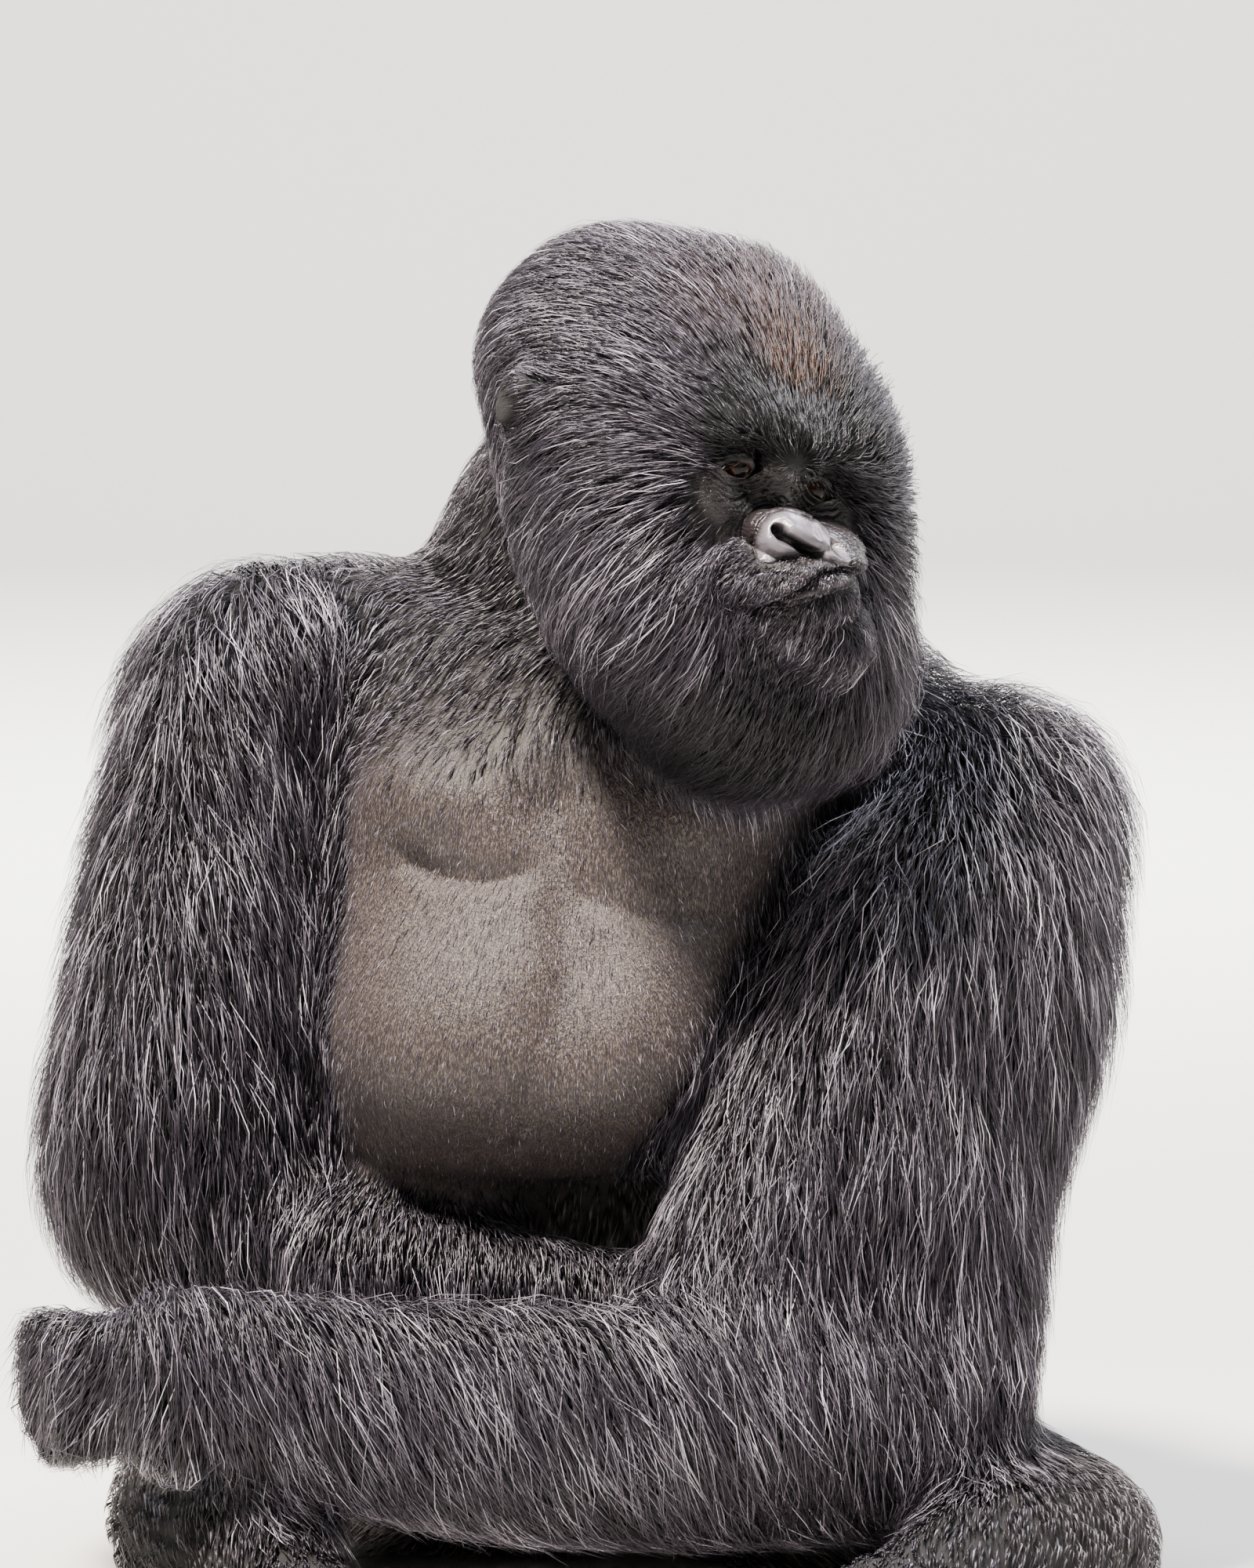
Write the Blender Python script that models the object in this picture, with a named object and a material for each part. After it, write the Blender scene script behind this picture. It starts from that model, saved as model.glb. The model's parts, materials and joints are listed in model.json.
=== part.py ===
"""Adult male gorilla sitting with folded arms, a still life-size model.

The solids give the outline of the animal out to the tips of its coat.  Head,
torso, arms and legs are each fused from lofts and ellipsoids into one smooth
form, fitted against their neighbours and parted at the joints with thin cuts.
Up is +Z, the chest faces -Y, the animal's own right is -X.
"""
import math

import bmesh
import bpy
import numpy as np
from mathutils import Matrix, Vector

# ---------------------------------------------------------------- sizes, m
SEAM = 0.0003                 # clear gap between neighbouring solids
VOXEL_BODY = 0.0070           # grain of the fused body forms
VOXEL_HEAD = 0.0042           # grain of the fused head form
BUDGET = {"head": 2300, "torso": 1060, "arm_r": 680, "arm_l": 940,
          "leg_r": 565, "leg_l": 565, "ear": 110}

# head pose: turned to its left, chin drawn in, tipped to its left shoulder
HEAD_CENTRE = Vector((0.048, -0.125, 0.932))
HEAD_YAW = math.radians(35.0)
HEAD_PITCH = math.radians(11.0)
HEAD_ROLL = math.radians(16.0)
LIP_TILT = math.radians(27.0)
EYE_RADIUS = 0.0165
EYE_SPACING = 0.076
EYE_DEPTH = -0.1385
EYE_LEVEL = -0.002
EAR_HEIGHT = 0.058
EAR_WIDTH = 0.036
EAR_CENTRE = (0.167, -0.028, -0.016)

# hair mass of the head in its own frame: height, centre x, centre y, half width, half depth
HAIR = [
    (-0.232, 0.044, -0.120, 0.055, 0.045),
    (-0.205, 0.042, -0.114, 0.108, 0.078),
    (-0.165, 0.034, -0.102, 0.150, 0.106),
    (-0.115, 0.022, -0.078, 0.170, 0.124),
    (-0.060, 0.012, -0.046, 0.176, 0.142),
    (-0.005, 0.005, -0.014, 0.170, 0.153),
    (0.045, 0.000, 0.008, 0.155, 0.156),
    (0.085, -0.002, 0.022, 0.132, 0.144),
    (0.115, -0.003, 0.032, 0.106, 0.120),
    (0.134, -0.003, 0.038, 0.078, 0.090),
]

# torso stations: height, centre x, centre y, half width, half depth
BELLY = [
    (0.030, -0.090, 0.200, 0.215, 0.190),
    (0.140, -0.085, 0.180, 0.225, 0.235),
    (0.240, -0.080, 0.150, 0.215, 0.255),
    (0.325, -0.070, 0.105, 0.205, 0.262),
    (0.372, -0.064, 0.075, 0.202, 0.285),
    (0.430, -0.055, 0.055, 0.204, 0.305),
    (0.500, -0.048, 0.050, 0.206, 0.300),
    (0.570, -0.040, 0.050, 0.205, 0.262),
    (0.640, -0.030, 0.060, 0.210, 0.248),
    (0.700, -0.020, 0.070, 0.220, 0.235),
    (0.750, -0.008, 0.080, 0.205, 0.195),
]
BACK = [
    (0.050, -0.090, 0.235, 0.250, 0.150),
    (0.200, -0.085, 0.222, 0.270, 0.168),
    (0.400, -0.060, 0.200, 0.258, 0.168),
    (0.550, -0.035, 0.188, 0.272, 0.158),
    (0.670, -0.010, 0.165, 0.292, 0.140),
    (0.745, -0.005, 0.140, 0.255, 0.115),
]
NECK = [
    ((-0.005, 0.105, 0.745), (0.180, 0.145)),
    ((0.000, 0.070, 0.830), (0.142, 0.140)),
    ((0.030, 0.000, 0.920), (0.110, 0.115)),
]

# limbs: joint and muscle stations, each a centre and two half sizes
UPPER_ARM_R = [
    ((-0.288, 0.035, 0.705), (0.106, 0.116)),
    ((-0.304, -0.010, 0.570), (0.120, 0.122)),
    ((-0.320, -0.038, 0.450), (0.127, 0.122)),
    ((-0.330, -0.048, 0.345), (0.134, 0.120)),
    ((-0.322, -0.050, 0.300), (0.118, 0.105)),
]
FOREARM_R = [
    ((-0.305, -0.060, 0.300), (0.082, 0.080)),
    ((-0.210, -0.135, 0.285), (0.066, 0.068)),
    ((-0.100, -0.192, 0.275), (0.057, 0.058)),
    ((0.010, -0.212, 0.264), (0.047, 0.046)),
    ((0.050, -0.212, 0.256), (0.040, 0.040)),
]
UPPER_ARM_L = [
    ((0.292, 0.040, 0.605), (0.114, 0.122)),
    ((0.278, -0.015, 0.500), (0.132, 0.130)),
    ((0.256, -0.055, 0.420), (0.131, 0.128)),
    ((0.236, -0.100, 0.340), (0.120, 0.120)),
    ((0.234, -0.150, 0.260), (0.113, 0.114)),
    ((0.238, -0.195, 0.180), (0.100, 0.100)),
]
ELBOW_L = [
    ((0.262, -0.050, 0.560), (0.110, 0.100)),
    ((0.218, -0.105, 0.490), (0.118, 0.108)),
    ((0.162, -0.165, 0.405), (0.112, 0.104)),
    ((0.116, -0.225, 0.315), (0.100, 0.094)),
    ((0.070, -0.280, 0.235), (0.072, 0.074)),
]
FOREARM_L = [
    ((0.222, -0.215, 0.180), (0.098, 0.100)),
    ((0.100, -0.298, 0.195), (0.082, 0.100)),
    ((-0.050, -0.350, 0.206), (0.074, 0.098)),
    ((-0.180, -0.372, 0.222), (0.068, 0.094)),
    ((-0.290, -0.375, 0.244), (0.056, 0.084)),
    ((-0.330, -0.372, 0.248), (0.050, 0.078)),
]
THIGH_R = [
    ((-0.185, 0.110, 0.125), (0.125, 0.120)),
    ((-0.255, -0.050, 0.120), (0.108, 0.105)),
    ((-0.312, -0.210, 0.115), (0.084, 0.088)),
]
SHIN_R = [
    ((-0.316, -0.222, 0.100), (0.084, 0.086)),
    ((-0.272, -0.345, 0.078), (0.074, 0.076)),
    ((-0.225, -0.440, 0.064), (0.059, 0.062)),
]
THIGH_L = [
    ((0.020, 0.110, 0.120), (0.125, 0.118)),
    ((0.200, 0.000, 0.092), (0.104, 0.096)),
    ((0.368, -0.185, 0.066), (0.074, 0.074)),
]
SHIN_L = [
    ((0.364, -0.205, 0.070), (0.076, 0.076)),
    ((0.280, -0.340, 0.074), (0.072, 0.074)),
    ((0.205, -0.432, 0.062), (0.059, 0.062)),
]

# where the fingers and toes are, and how far round them the skin keeps its detail
DIGITS = {
    "arm_l": ((-0.410, -0.380, 0.230), 0.115),
    "leg_r": ((-0.235, -0.640, 0.020), 0.150),
    "leg_l": ((0.220, -0.630, 0.020), 0.150),
}
FINGER_BONES = (0.050, 0.034, 0.024)
FINGER_RADIUS = 0.0195
TOE_BONES = (0.032, 0.022, 0.016)
TOE_RADIUS = 0.0200


# ---------------------------------------------------------------- helpers
def clear_scene():
    """Remove everything that the start-up file left in the scene."""
    for item in list(bpy.data.objects):
        bpy.data.objects.remove(item, do_unlink=True)


def unit(vector):
    """Return the vector at length one."""
    result = Vector(vector)
    result.normalize()
    return result


def link_mesh(name, mesh):
    """Put a mesh in the scene as one object of that name."""
    item = bpy.data.objects.new(name, mesh)
    bpy.context.scene.collection.objects.link(item)
    return item


def add_ellipsoid(bm, centre, radii, turn=None, detail=4):
    """Add an ellipsoid to the form, turned by a 3x3 matrix about its centre."""
    scale = Matrix.Diagonal(Vector((radii[0], radii[1], radii[2], 1.0)))
    spin = turn.to_4x4() if turn is not None else Matrix.Identity(4)
    place = Matrix.Translation(Vector(centre)) @ spin @ scale
    bmesh.ops.create_icosphere(bm, subdivisions=detail, radius=1.0, matrix=place)


def spline(values, position):
    """Catmull-Rom value at a position counted in stations."""
    last = len(values) - 1
    index = min(int(position), last - 1)
    t = position - index
    p0 = values[max(index - 1, 0)]
    p1 = values[index]
    p2 = values[index + 1]
    p3 = values[min(index + 2, last)]
    return 0.5 * ((2.0 * p1) + (p2 - p0) * t + (2.0 * p0 - 5.0 * p1 + 4.0 * p2 - p3) * t * t
                  + (3.0 * p1 - p0 - 3.0 * p2 + p3) * t * t * t)


def add_rings(bm, rings):
    """Skin a run of point rings into one closed form with a point at each end."""
    loops = []
    for ring in rings:
        loops.append([bm.verts.new(point) for point in ring])
    sides = len(loops[0])
    for lower, upper in zip(loops[:-1], loops[1:]):
        for k in range(sides):
            n = (k + 1) % sides
            bm.faces.new((lower[k], lower[n], upper[n], upper[k]))
    for loop, flip in ((loops[0], True), (loops[-1], False)):
        middle = Vector((0.0, 0.0, 0.0))
        for vert in loop:
            middle += vert.co / sides
        hub = bm.verts.new(middle)
        for k in range(sides):
            n = (k + 1) % sides
            corners = (loop[n], loop[k], hub) if flip else (loop[k], loop[n], hub)
            bm.faces.new(corners)


def add_loft(bm, stations, up=(0.0, 0.0, 1.0), steps=6, sides=28):
    """Loft an elliptical section along smooth stations, with a rounded end at each end.

    The first half size lies across `up`, the second lies along it.
    """
    count = (len(stations) - 1) * steps
    centres = [Vector(s[0]) for s in stations]
    wide = [s[1][0] for s in stations]
    tall = [s[1][1] for s in stations]
    path = []
    for k in range(count + 1):
        at = k / steps
        path.append((spline(centres, at), spline(wide, at), spline(tall, at)))
    frames = []
    for k, (centre, a, b) in enumerate(path):
        ahead = path[min(k + 1, count)][0]
        behind = path[max(k - 1, 0)][0]
        along = unit(ahead - behind)
        side = along.cross(Vector(up))
        side.normalize()
        over = side.cross(along)
        frames.append((centre, side, over, along, a, b))
    rings = []
    for sign, frame in ((-1.0, frames[0]), (1.0, frames[-1])):
        dome = []
        for angle in (80.0, 60.0, 40.0, 20.0):
            reach = math.sin(math.radians(angle)) * min(frame[4], frame[5]) * 0.85
            shrink = math.cos(math.radians(angle))
            dome.append((frame[0] + frame[3] * reach * sign, frame[1], frame[2],
                         frame[4] * shrink, frame[5] * shrink))
        if sign < 0.0:
            rings = dome + [(f[0], f[1], f[2], f[4], f[5]) for f in frames]
        else:
            rings = rings + list(reversed(dome))
    loops = []
    for centre, side, over, a, b in rings:
        loop = []
        for k in range(sides):
            angle = 2.0 * math.pi * k / sides
            loop.append(centre + side * (a * math.cos(angle)) + over * (b * math.sin(angle)))
        loops.append(loop)
    add_rings(bm, loops)


def add_level_loft(bm, stations, steps=6, sides=48, top=0.05, bottom=0.05, square=2.0):
    """Loft level sections up a body, rounded over at top and bottom.

    The section is an ellipse at square 2 and grows boxier above that.
    """
    count = (len(stations) - 1) * steps
    rows = []
    columns = [[s[c] for s in stations] for c in range(5)]
    for k in range(count + 1):
        rows.append([spline(column, k / steps) for column in columns])
    low, high = rows[0], rows[-1]
    under = []
    over = []
    for angle in (80.0, 60.0, 40.0, 20.0):
        rise = math.sin(math.radians(angle))
        shrink = math.cos(math.radians(angle))
        under.append([low[0] - bottom * rise, low[1], low[2], low[3] * shrink, low[4] * shrink])
        over.append([high[0] + top * rise, high[1], high[2], high[3] * shrink, high[4] * shrink])
    rows = under + rows + list(reversed(over))
    loops = []
    for z, cx, cy, a, b in rows:
        loop = []
        for k in range(sides):
            angle = 2.0 * math.pi * k / sides
            c = math.cos(angle)
            s = math.sin(angle)
            swell = (abs(c) ** square + abs(s) ** square) ** (-1.0 / square)
            loop.append(Vector((cx + a * c * swell, cy + b * s * swell, z)))
        loops.append(loop)
    add_rings(bm, loops)


def bake(item):
    """Turn the modifiers of an object into its mesh."""
    graph = bpy.context.evaluated_depsgraph_get()
    mesh = bpy.data.meshes.new_from_object(item.evaluated_get(graph))
    item.modifiers.clear()
    old = item.data
    item.data = mesh
    bpy.data.meshes.remove(old)


def fuse(name, bm, voxel, rounds):
    """Fuse overlapping closed forms into one smooth skin."""
    mesh = bpy.data.meshes.new(name)
    bm.to_mesh(mesh)
    bm.free()
    item = link_mesh(name, mesh)
    remesh = item.modifiers.new("Fuse", "REMESH")
    remesh.mode = "VOXEL"
    remesh.voxel_size = voxel
    remesh.adaptivity = 0.0
    smooth = item.modifiers.new("Soften", "SMOOTH")
    smooth.factor = 0.5
    smooth.iterations = rounds
    bake(item)
    return item


def thin_out(item, triangles, centre=None, reach=0.0, guard=0.0):
    """Reduce the skin to about that many triangles, finer within reach of a centre."""
    faces = sum(len(p.vertices) - 2 for p in item.data.polygons)
    decimate = item.modifiers.new("Thin", "DECIMATE")
    decimate.ratio = min(1.0, triangles / faces)
    decimate.use_collapse_triangulate = True
    if centre is not None:
        group = item.vertex_groups.new(name="coarse")
        for vert in item.data.vertices:
            away = (vert.co - Vector(centre)).length / reach
            group.add([vert.index], min(1.0, max(0.05, (away - 0.6) / 0.4)), "REPLACE")
        decimate.vertex_group = "coarse"
        decimate.vertex_group_factor = guard
    relax = item.modifiers.new("Relax", "SMOOTH")
    relax.factor = 0.3
    relax.iterations = 1
    bake(item)


def combine(item, other, operation):
    """Boolean the other closed form into this one and keep the result."""
    modifier = item.modifiers.new("Fit", "BOOLEAN")
    modifier.operation = operation
    modifier.solver = "EXACT"
    modifier.object = other
    bake(item)


def drop(item):
    """Remove a helper object."""
    mesh = item.data
    bpy.data.objects.remove(item, do_unlink=True)
    bpy.data.meshes.remove(mesh)


def grown_copy(item, distance):
    """Copy a solid with its skin moved outward by a small distance."""
    copy = link_mesh(item.name + "_grown", item.data.copy())
    bm = bmesh.new()
    bm.from_mesh(copy.data)
    bmesh.ops.triangulate(bm, faces=bm.faces)
    bm.normal_update()
    shifts = []
    for vert in bm.verts:
        lean = min(face.normal.dot(vert.normal) for face in vert.link_faces)
        shifts.append(vert.normal * (distance / max(lean, 0.25)))
    for vert, shift in zip(bm.verts, shifts):
        vert.co += shift
    bm.to_mesh(copy.data)
    bm.free()
    return copy


def box(name, centre, half, turn=None):
    """Make a box helper from its centre, half sizes and 3x3 turn."""
    bm = bmesh.new()
    spin = turn.to_4x4() if turn is not None else Matrix.Identity(4)
    scale = Matrix.Diagonal(Vector((half[0] * 2.0, half[1] * 2.0, half[2] * 2.0, 1.0)))
    place = Matrix.Translation(Vector(centre)) @ spin @ scale
    bmesh.ops.create_cube(bm, size=1.0, matrix=place)
    mesh = bpy.data.meshes.new(name)
    bm.to_mesh(mesh)
    bm.free()
    return link_mesh(name, mesh)


def trim_floor(item):
    """Flatten whatever reaches below the floor at level zero."""
    room = box("room", (0.0, 0.0, 1.0), (2.0, 2.0, 1.0))
    combine(item, room, "INTERSECT")
    drop(room)


def islands(item):
    """Split an object into its loose solids, largest first, and remove the object."""
    bm = bmesh.new()
    bm.from_mesh(item.data)
    bmesh.ops.remove_doubles(bm, verts=bm.verts, dist=0.00002)
    bmesh.ops.dissolve_degenerate(bm, edges=bm.edges, dist=0.00002)
    bmesh.ops.triangulate(bm, faces=bm.faces)
    bm.verts.index_update()
    seen = set()
    groups = []
    for start in bm.verts:
        if start.index in seen:
            continue
        stack = [start]
        seen.add(start.index)
        group = []
        while stack:
            vert = stack.pop()
            group.append(vert)
            for edge in vert.link_edges:
                other = edge.other_vert(vert)
                if other.index not in seen:
                    seen.add(other.index)
                    stack.append(other)
        groups.append(group)
    pieces = []
    for group in groups:
        part = bmesh.new()
        made = {}
        for vert in group:
            made[vert.index] = part.verts.new(vert.co)
        faces = set()
        for vert in group:
            for face in vert.link_faces:
                faces.add(face)
        for face in sorted(faces, key=lambda f: f.index):
            part.faces.new([made[vert.index] for vert in face.verts])
        volume = abs(part.calc_volume()) if len(part.faces) > 3 else 0.0
        pieces.append((volume, part))
    bm.free()
    drop(item)
    pieces.sort(key=lambda pair: -pair[0])
    solids = []
    for volume, part in pieces:
        if volume > 0.000002:
            bmesh.ops.recalc_face_normals(part, faces=part.faces)
            mesh = bpy.data.meshes.new("piece")
            part.to_mesh(mesh)
            solids.append(link_mesh("piece", mesh))
        part.free()
    return solids


def centre_of(item):
    """Mean of the vertices of an object."""
    total = Vector((0.0, 0.0, 0.0))
    for vert in item.data.vertices:
        total += vert.co
    return total / len(item.data.vertices)


def part_at(item, cuts, labels):
    """Part a form with thin square cuts and name the pieces by nearest label."""
    for centre, normal, half in cuts:
        turn = unit(normal).to_track_quat("Z", "Y").to_matrix()
        blade = box("blade", centre, (half, half, SEAM * 0.5), turn)
        combine(item, blade, "DIFFERENCE")
        drop(blade)
    solids = islands(item)
    named = {}
    for name, point in labels.items():
        best = min(solids, key=lambda s: (centre_of(s) - Vector(point)).length)
        solids.remove(best)
        named[name] = best
        best.name = name
        best.data.name = name
    for extra in solids:
        drop(extra)
    return named


# ---------------------------------------------------------------- head
def head_turn():
    """Turn of the head: roll, then pitch, then yaw."""
    yaw = Matrix.Rotation(HEAD_YAW, 3, "Z")
    pitch = Matrix.Rotation(HEAD_PITCH, 3, "X")
    roll = Matrix.Rotation(HEAD_ROLL, 3, "Y")
    return yaw @ pitch @ roll


def head_place():
    """Matrix from the head's own frame (face along -Y) to the model."""
    return Matrix.Translation(HEAD_CENTRE) @ head_turn().to_4x4()


def face_forms(bm):
    """Add brow, nose, lips and jaw in the head's own frame; the lips are drawn up to the left."""
    middle = [
        ((0.000, -0.122, -0.008), (0.090, 0.044, 0.058)),  # face
        ((0.000, -0.132, 0.028), (0.060, 0.036, 0.026)),   # brow bar
        ((0.000, -0.146, -0.010), (0.022, 0.038, 0.034)),  # bridge
        ((0.000, -0.196, -0.030), (0.026, 0.022, 0.017)),  # nose tip
        ((0.014, -0.148, -0.118), (0.062, 0.066, 0.042)),  # chin
    ]
    paired = [
        ((0.054, -0.125, 0.029), (0.062, 0.042, 0.031)),   # brow ridge
        ((0.052, -0.128, -0.030), (0.040, 0.034, 0.024)),  # cheekbone
        ((0.025, -0.182, -0.033), (0.026, 0.029, 0.018)),  # nose wing
    ]
    lips = [
        ((0.004, -0.156, -0.060), (0.074, 0.078, 0.032)),  # upper lip
        ((0.010, -0.158, -0.086), (0.064, 0.072, 0.026)),  # lower lip
    ]
    for centre, radii in middle:
        add_ellipsoid(bm, centre, radii)
    for centre, radii in paired:
        for sign in (-1.0, 1.0):
            add_ellipsoid(bm, (centre[0] * sign, centre[1], centre[2]), radii)
    for centre, radii in lips:
        add_ellipsoid(bm, centre, radii, Matrix.Rotation(-LIP_TILT, 3, "Y"))


def press(points, centre, radii, shift):
    """Press or raise a smooth dent: points within an ellipsoid move by the shift."""
    offset = (points - np.array(centre)) / np.array(radii)
    reach = np.clip(1.0 - np.sum(offset * offset, axis=1), 0.0, 1.0)
    return points + np.outer(reach * reach, np.array(shift))


def carve_face(item):
    """Shape the eye hollows, nostrils, mouth line and lids in the fused head."""
    count = len(item.data.vertices)
    flat = np.empty(count * 3)
    item.data.vertices.foreach_get("co", flat)
    points = flat.reshape((count, 3))
    for sign in (-1.0, 1.0):
        points = press(points, (0.041 * sign, -0.155, 0.000), (0.032, 0.040, 0.023), (0.0, 0.017, 0.0))
        points = press(points, (0.020 * sign, -0.206, -0.034), (0.015, 0.020, 0.010), (0.0, 0.010, 0.003))
        points = press(points, (0.062 * sign, -0.170, -0.046), (0.030, 0.050, 0.014), (0.0, 0.008, 0.0))
    across = np.abs(points[:, 0])
    mouth = -0.073 + math.tan(LIP_TILT) * points[:, 0] - 0.12 * across
    near = np.exp(-((points[:, 2] - mouth) / 0.0060) ** 2)
    aside = np.abs(points[:, 0] - 0.012)
    front = np.clip((-0.110 - points[:, 1]) / 0.03, 0.0, 1.0) * np.clip((0.068 - aside) / 0.02, 0.0, 1.0)
    points[:, 1] += 0.010 * near * front
    item.data.vertices.foreach_set("co", points.reshape(-1))
    item.data.update()


def make_head():
    """Fuse the hair mass and the face, carve the face and place the head."""
    bm = bmesh.new()
    add_level_loft(bm, HAIR, top=0.014, bottom=0.012, square=2.7)
    mass = fuse("mass", bm, VOXEL_HEAD, 16)
    bm = bmesh.new()
    bm.from_mesh(mass.data)
    drop(mass)
    face_forms(bm)
    item = fuse("head", bm, VOXEL_HEAD, 5)
    carve_face(item)
    thin_out(item, BUDGET["head"], (0.0, -0.165, -0.030), 0.14, 0.02)
    item.data.transform(head_place())
    return item


def make_ball(name, centre, radius, detail=3):
    """Make a plain ball."""
    bm = bmesh.new()
    bmesh.ops.create_icosphere(bm, subdivisions=detail, radius=radius,
                               matrix=Matrix.Translation(Vector(centre)))
    mesh = bpy.data.meshes.new(name)
    bm.to_mesh(mesh)
    bm.free()
    return link_mesh(name, mesh)


def make_eyes(head):
    """Seat two eyeballs in hollows cut in the head."""
    place = head_place()
    eyes = {}
    for name, sign in (("eye_r", -1.0), ("eye_l", 1.0)):
        centre = place @ Vector((EYE_SPACING * 0.5 * sign, EYE_DEPTH, EYE_LEVEL))
        hollow = make_ball("hollow", centre, EYE_RADIUS * 1.085, 2)
        combine(head, hollow, "DIFFERENCE")
        drop(hollow)
        eyes[name] = make_ball(name, centre, EYE_RADIUS, 2)
    return eyes


def make_ears(head):
    """Set a small rounded ear against each side of the head."""
    ears = {}
    for name, sign in (("ear_r", -1.0), ("ear_l", 1.0)):
        bm = bmesh.new()
        rim = []
        for k in range(9):
            angle = math.radians(-70.0 + 250.0 * k / 8.0)
            y = EAR_CENTRE[1] + EAR_WIDTH * 0.36 * math.sin(angle)
            z = EAR_CENTRE[2] + EAR_HEIGHT * 0.36 * math.cos(angle)
            rim.append((((EAR_CENTRE[0] + 0.008) * sign, y, z), (0.0085, 0.0075)))
        add_loft(bm, rim, up=(1.0, 0.0, 0.0), steps=2, sides=10)
        pad = (EAR_CENTRE[0] * sign, EAR_CENTRE[1], EAR_CENTRE[2])
        add_ellipsoid(bm, pad, (0.012, EAR_WIDTH * 0.38, EAR_HEIGHT * 0.42), None, 3)
        item = fuse(name, bm, 0.0030, 2)
        thin_out(item, BUDGET["ear"])
        item.data.transform(head_place())
        shell = grown_copy(head, SEAM)
        combine(item, shell, "DIFFERENCE")
        drop(shell)
        solids = islands(item)
        for extra in solids[1:]:
            drop(extra)
        ears[name] = solids[0]
        solids[0].name = name
        solids[0].data.name = name
    return ears


# ---------------------------------------------------------------- body
def make_torso():
    """Fuse rump, belly, chest, shoulder girdle and neck."""
    bm = bmesh.new()
    add_level_loft(bm, BELLY, top=0.06, bottom=0.045)
    add_level_loft(bm, BACK, top=0.06, bottom=0.065)
    add_loft(bm, NECK, up=(0.0, 1.0, 0.0))
    add_ellipsoid(bm, (-0.112, -0.060, 0.645), (0.098, 0.122, 0.082))     # right chest muscle
    add_ellipsoid(bm, (0.048, -0.060, 0.630), (0.098, 0.122, 0.082))      # left chest muscle
    add_ellipsoid(bm, (-0.052, -0.045, 0.452), (0.188, 0.216, 0.126))     # belly bulge
    add_ellipsoid(bm, (-0.170, 0.085, 0.730), (0.150, 0.110, 0.078))      # right trapezius
    add_ellipsoid(bm, (0.165, 0.085, 0.668), (0.150, 0.110, 0.078))       # left trapezius
    add_ellipsoid(bm, (-0.155, 0.240, 0.630), (0.110, 0.080, 0.140))      # right shoulder blade
    add_ellipsoid(bm, (0.140, 0.240, 0.590), (0.110, 0.080, 0.140))       # left shoulder blade
    add_ellipsoid(bm, (-0.200, 0.270, 0.115), (0.135, 0.125, 0.135))      # right seat
    add_ellipsoid(bm, (0.020, 0.270, 0.110), (0.135, 0.125, 0.135))       # left seat
    return fuse("torso", bm, VOXEL_BODY, 36)


def add_digit(bm, start, ahead, bend, bones, radius, curls):
    """Add a finger or toe: bones that curl step by step toward the bend direction."""
    point = Vector(start)
    stations = [(point - ahead * radius, (radius, radius))]
    angle = 0.0
    size = radius
    for length, curl in zip(bones, curls):
        angle += math.radians(curl)
        point = point + (ahead * math.cos(angle) + bend * math.sin(angle)) * length
        size *= 0.94
        stations.append((point, (size, size)))
    side = ahead.cross(bend)
    add_loft(bm, stations, up=side, steps=3, sides=12)


def add_hand(bm, wrist, ahead, dorsal, width, curls, thumb_up):
    """Add a hand: a flat palm, four curled fingers and a short thumb."""
    ahead = unit(ahead)
    across = unit(ahead.cross(Vector(dorsal)))
    dorsal = unit(across.cross(ahead))
    palm = [
        (Vector(wrist), (0.038, 0.030)),
        (Vector(wrist) + ahead * 0.045, (width * 0.46, 0.028)),
        (Vector(wrist) + ahead * 0.092, (width * 0.50, 0.025)),
    ]
    add_loft(bm, palm, up=dorsal, steps=5, sides=24)
    for k in range(4):
        spread = (k - 1.5) / 1.5
        start = Vector(wrist) + ahead * (0.100 - 0.010 * spread * spread) + across * (spread * width * 0.38)
        scale = 1.0 - 0.07 * abs(k - 1.2)
        bones = [length * scale for length in FINGER_BONES]
        add_digit(bm, start, ahead, dorsal * -1.0, bones, FINGER_RADIUS * scale, curls)
    side = across * (1.0 if thumb_up else -1.0)
    start = Vector(wrist) + ahead * 0.034 + side * (width * 0.34) - dorsal * 0.014
    add_digit(bm, start, unit(ahead * 0.82 + side * 0.12 - dorsal * 0.52), dorsal * -1.0,
              (0.036, 0.028, 0.018), 0.0175, (4.0, 14.0, 14.0))


def add_foot(bm, ankle, ahead, inner):
    """Add a foot flat on the floor: heel, sole, four toes and a spread big toe."""
    ahead = unit(ahead)
    inner = unit(inner)
    base = Vector((ankle[0], ankle[1], 0.0))
    up = Vector((0.0, 0.0, 1.0))
    sole = [
        (base - ahead * 0.040 + up * 0.036, (0.043, 0.045)),
        (base + ahead * 0.040 + up * 0.043, (0.047, 0.050)),
        (base + ahead * 0.120 + up * 0.033, (0.059, 0.040)),
        (base + ahead * 0.165 + up * 0.025, (0.058, 0.031)),
    ]
    add_loft(bm, sole, up=up, steps=5, sides=24)
    for k in range(4):
        start = base + ahead * (0.176 - 0.008 * k) + inner * (0.038 - 0.0275 * k) + up * 0.018
        add_digit(bm, start, ahead, up * -1.0, TOE_BONES, TOE_RADIUS * (1.0 - 0.05 * k), (-6.0, 16.0, 22.0))
    start = base + ahead * 0.072 + inner * 0.040 + up * 0.022
    add_digit(bm, start, unit(ahead * 0.88 + inner * 0.47), up * -1.0,
              (0.046, 0.032, 0.022), 0.0235, (0.0, 8.0, 18.0))


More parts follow.
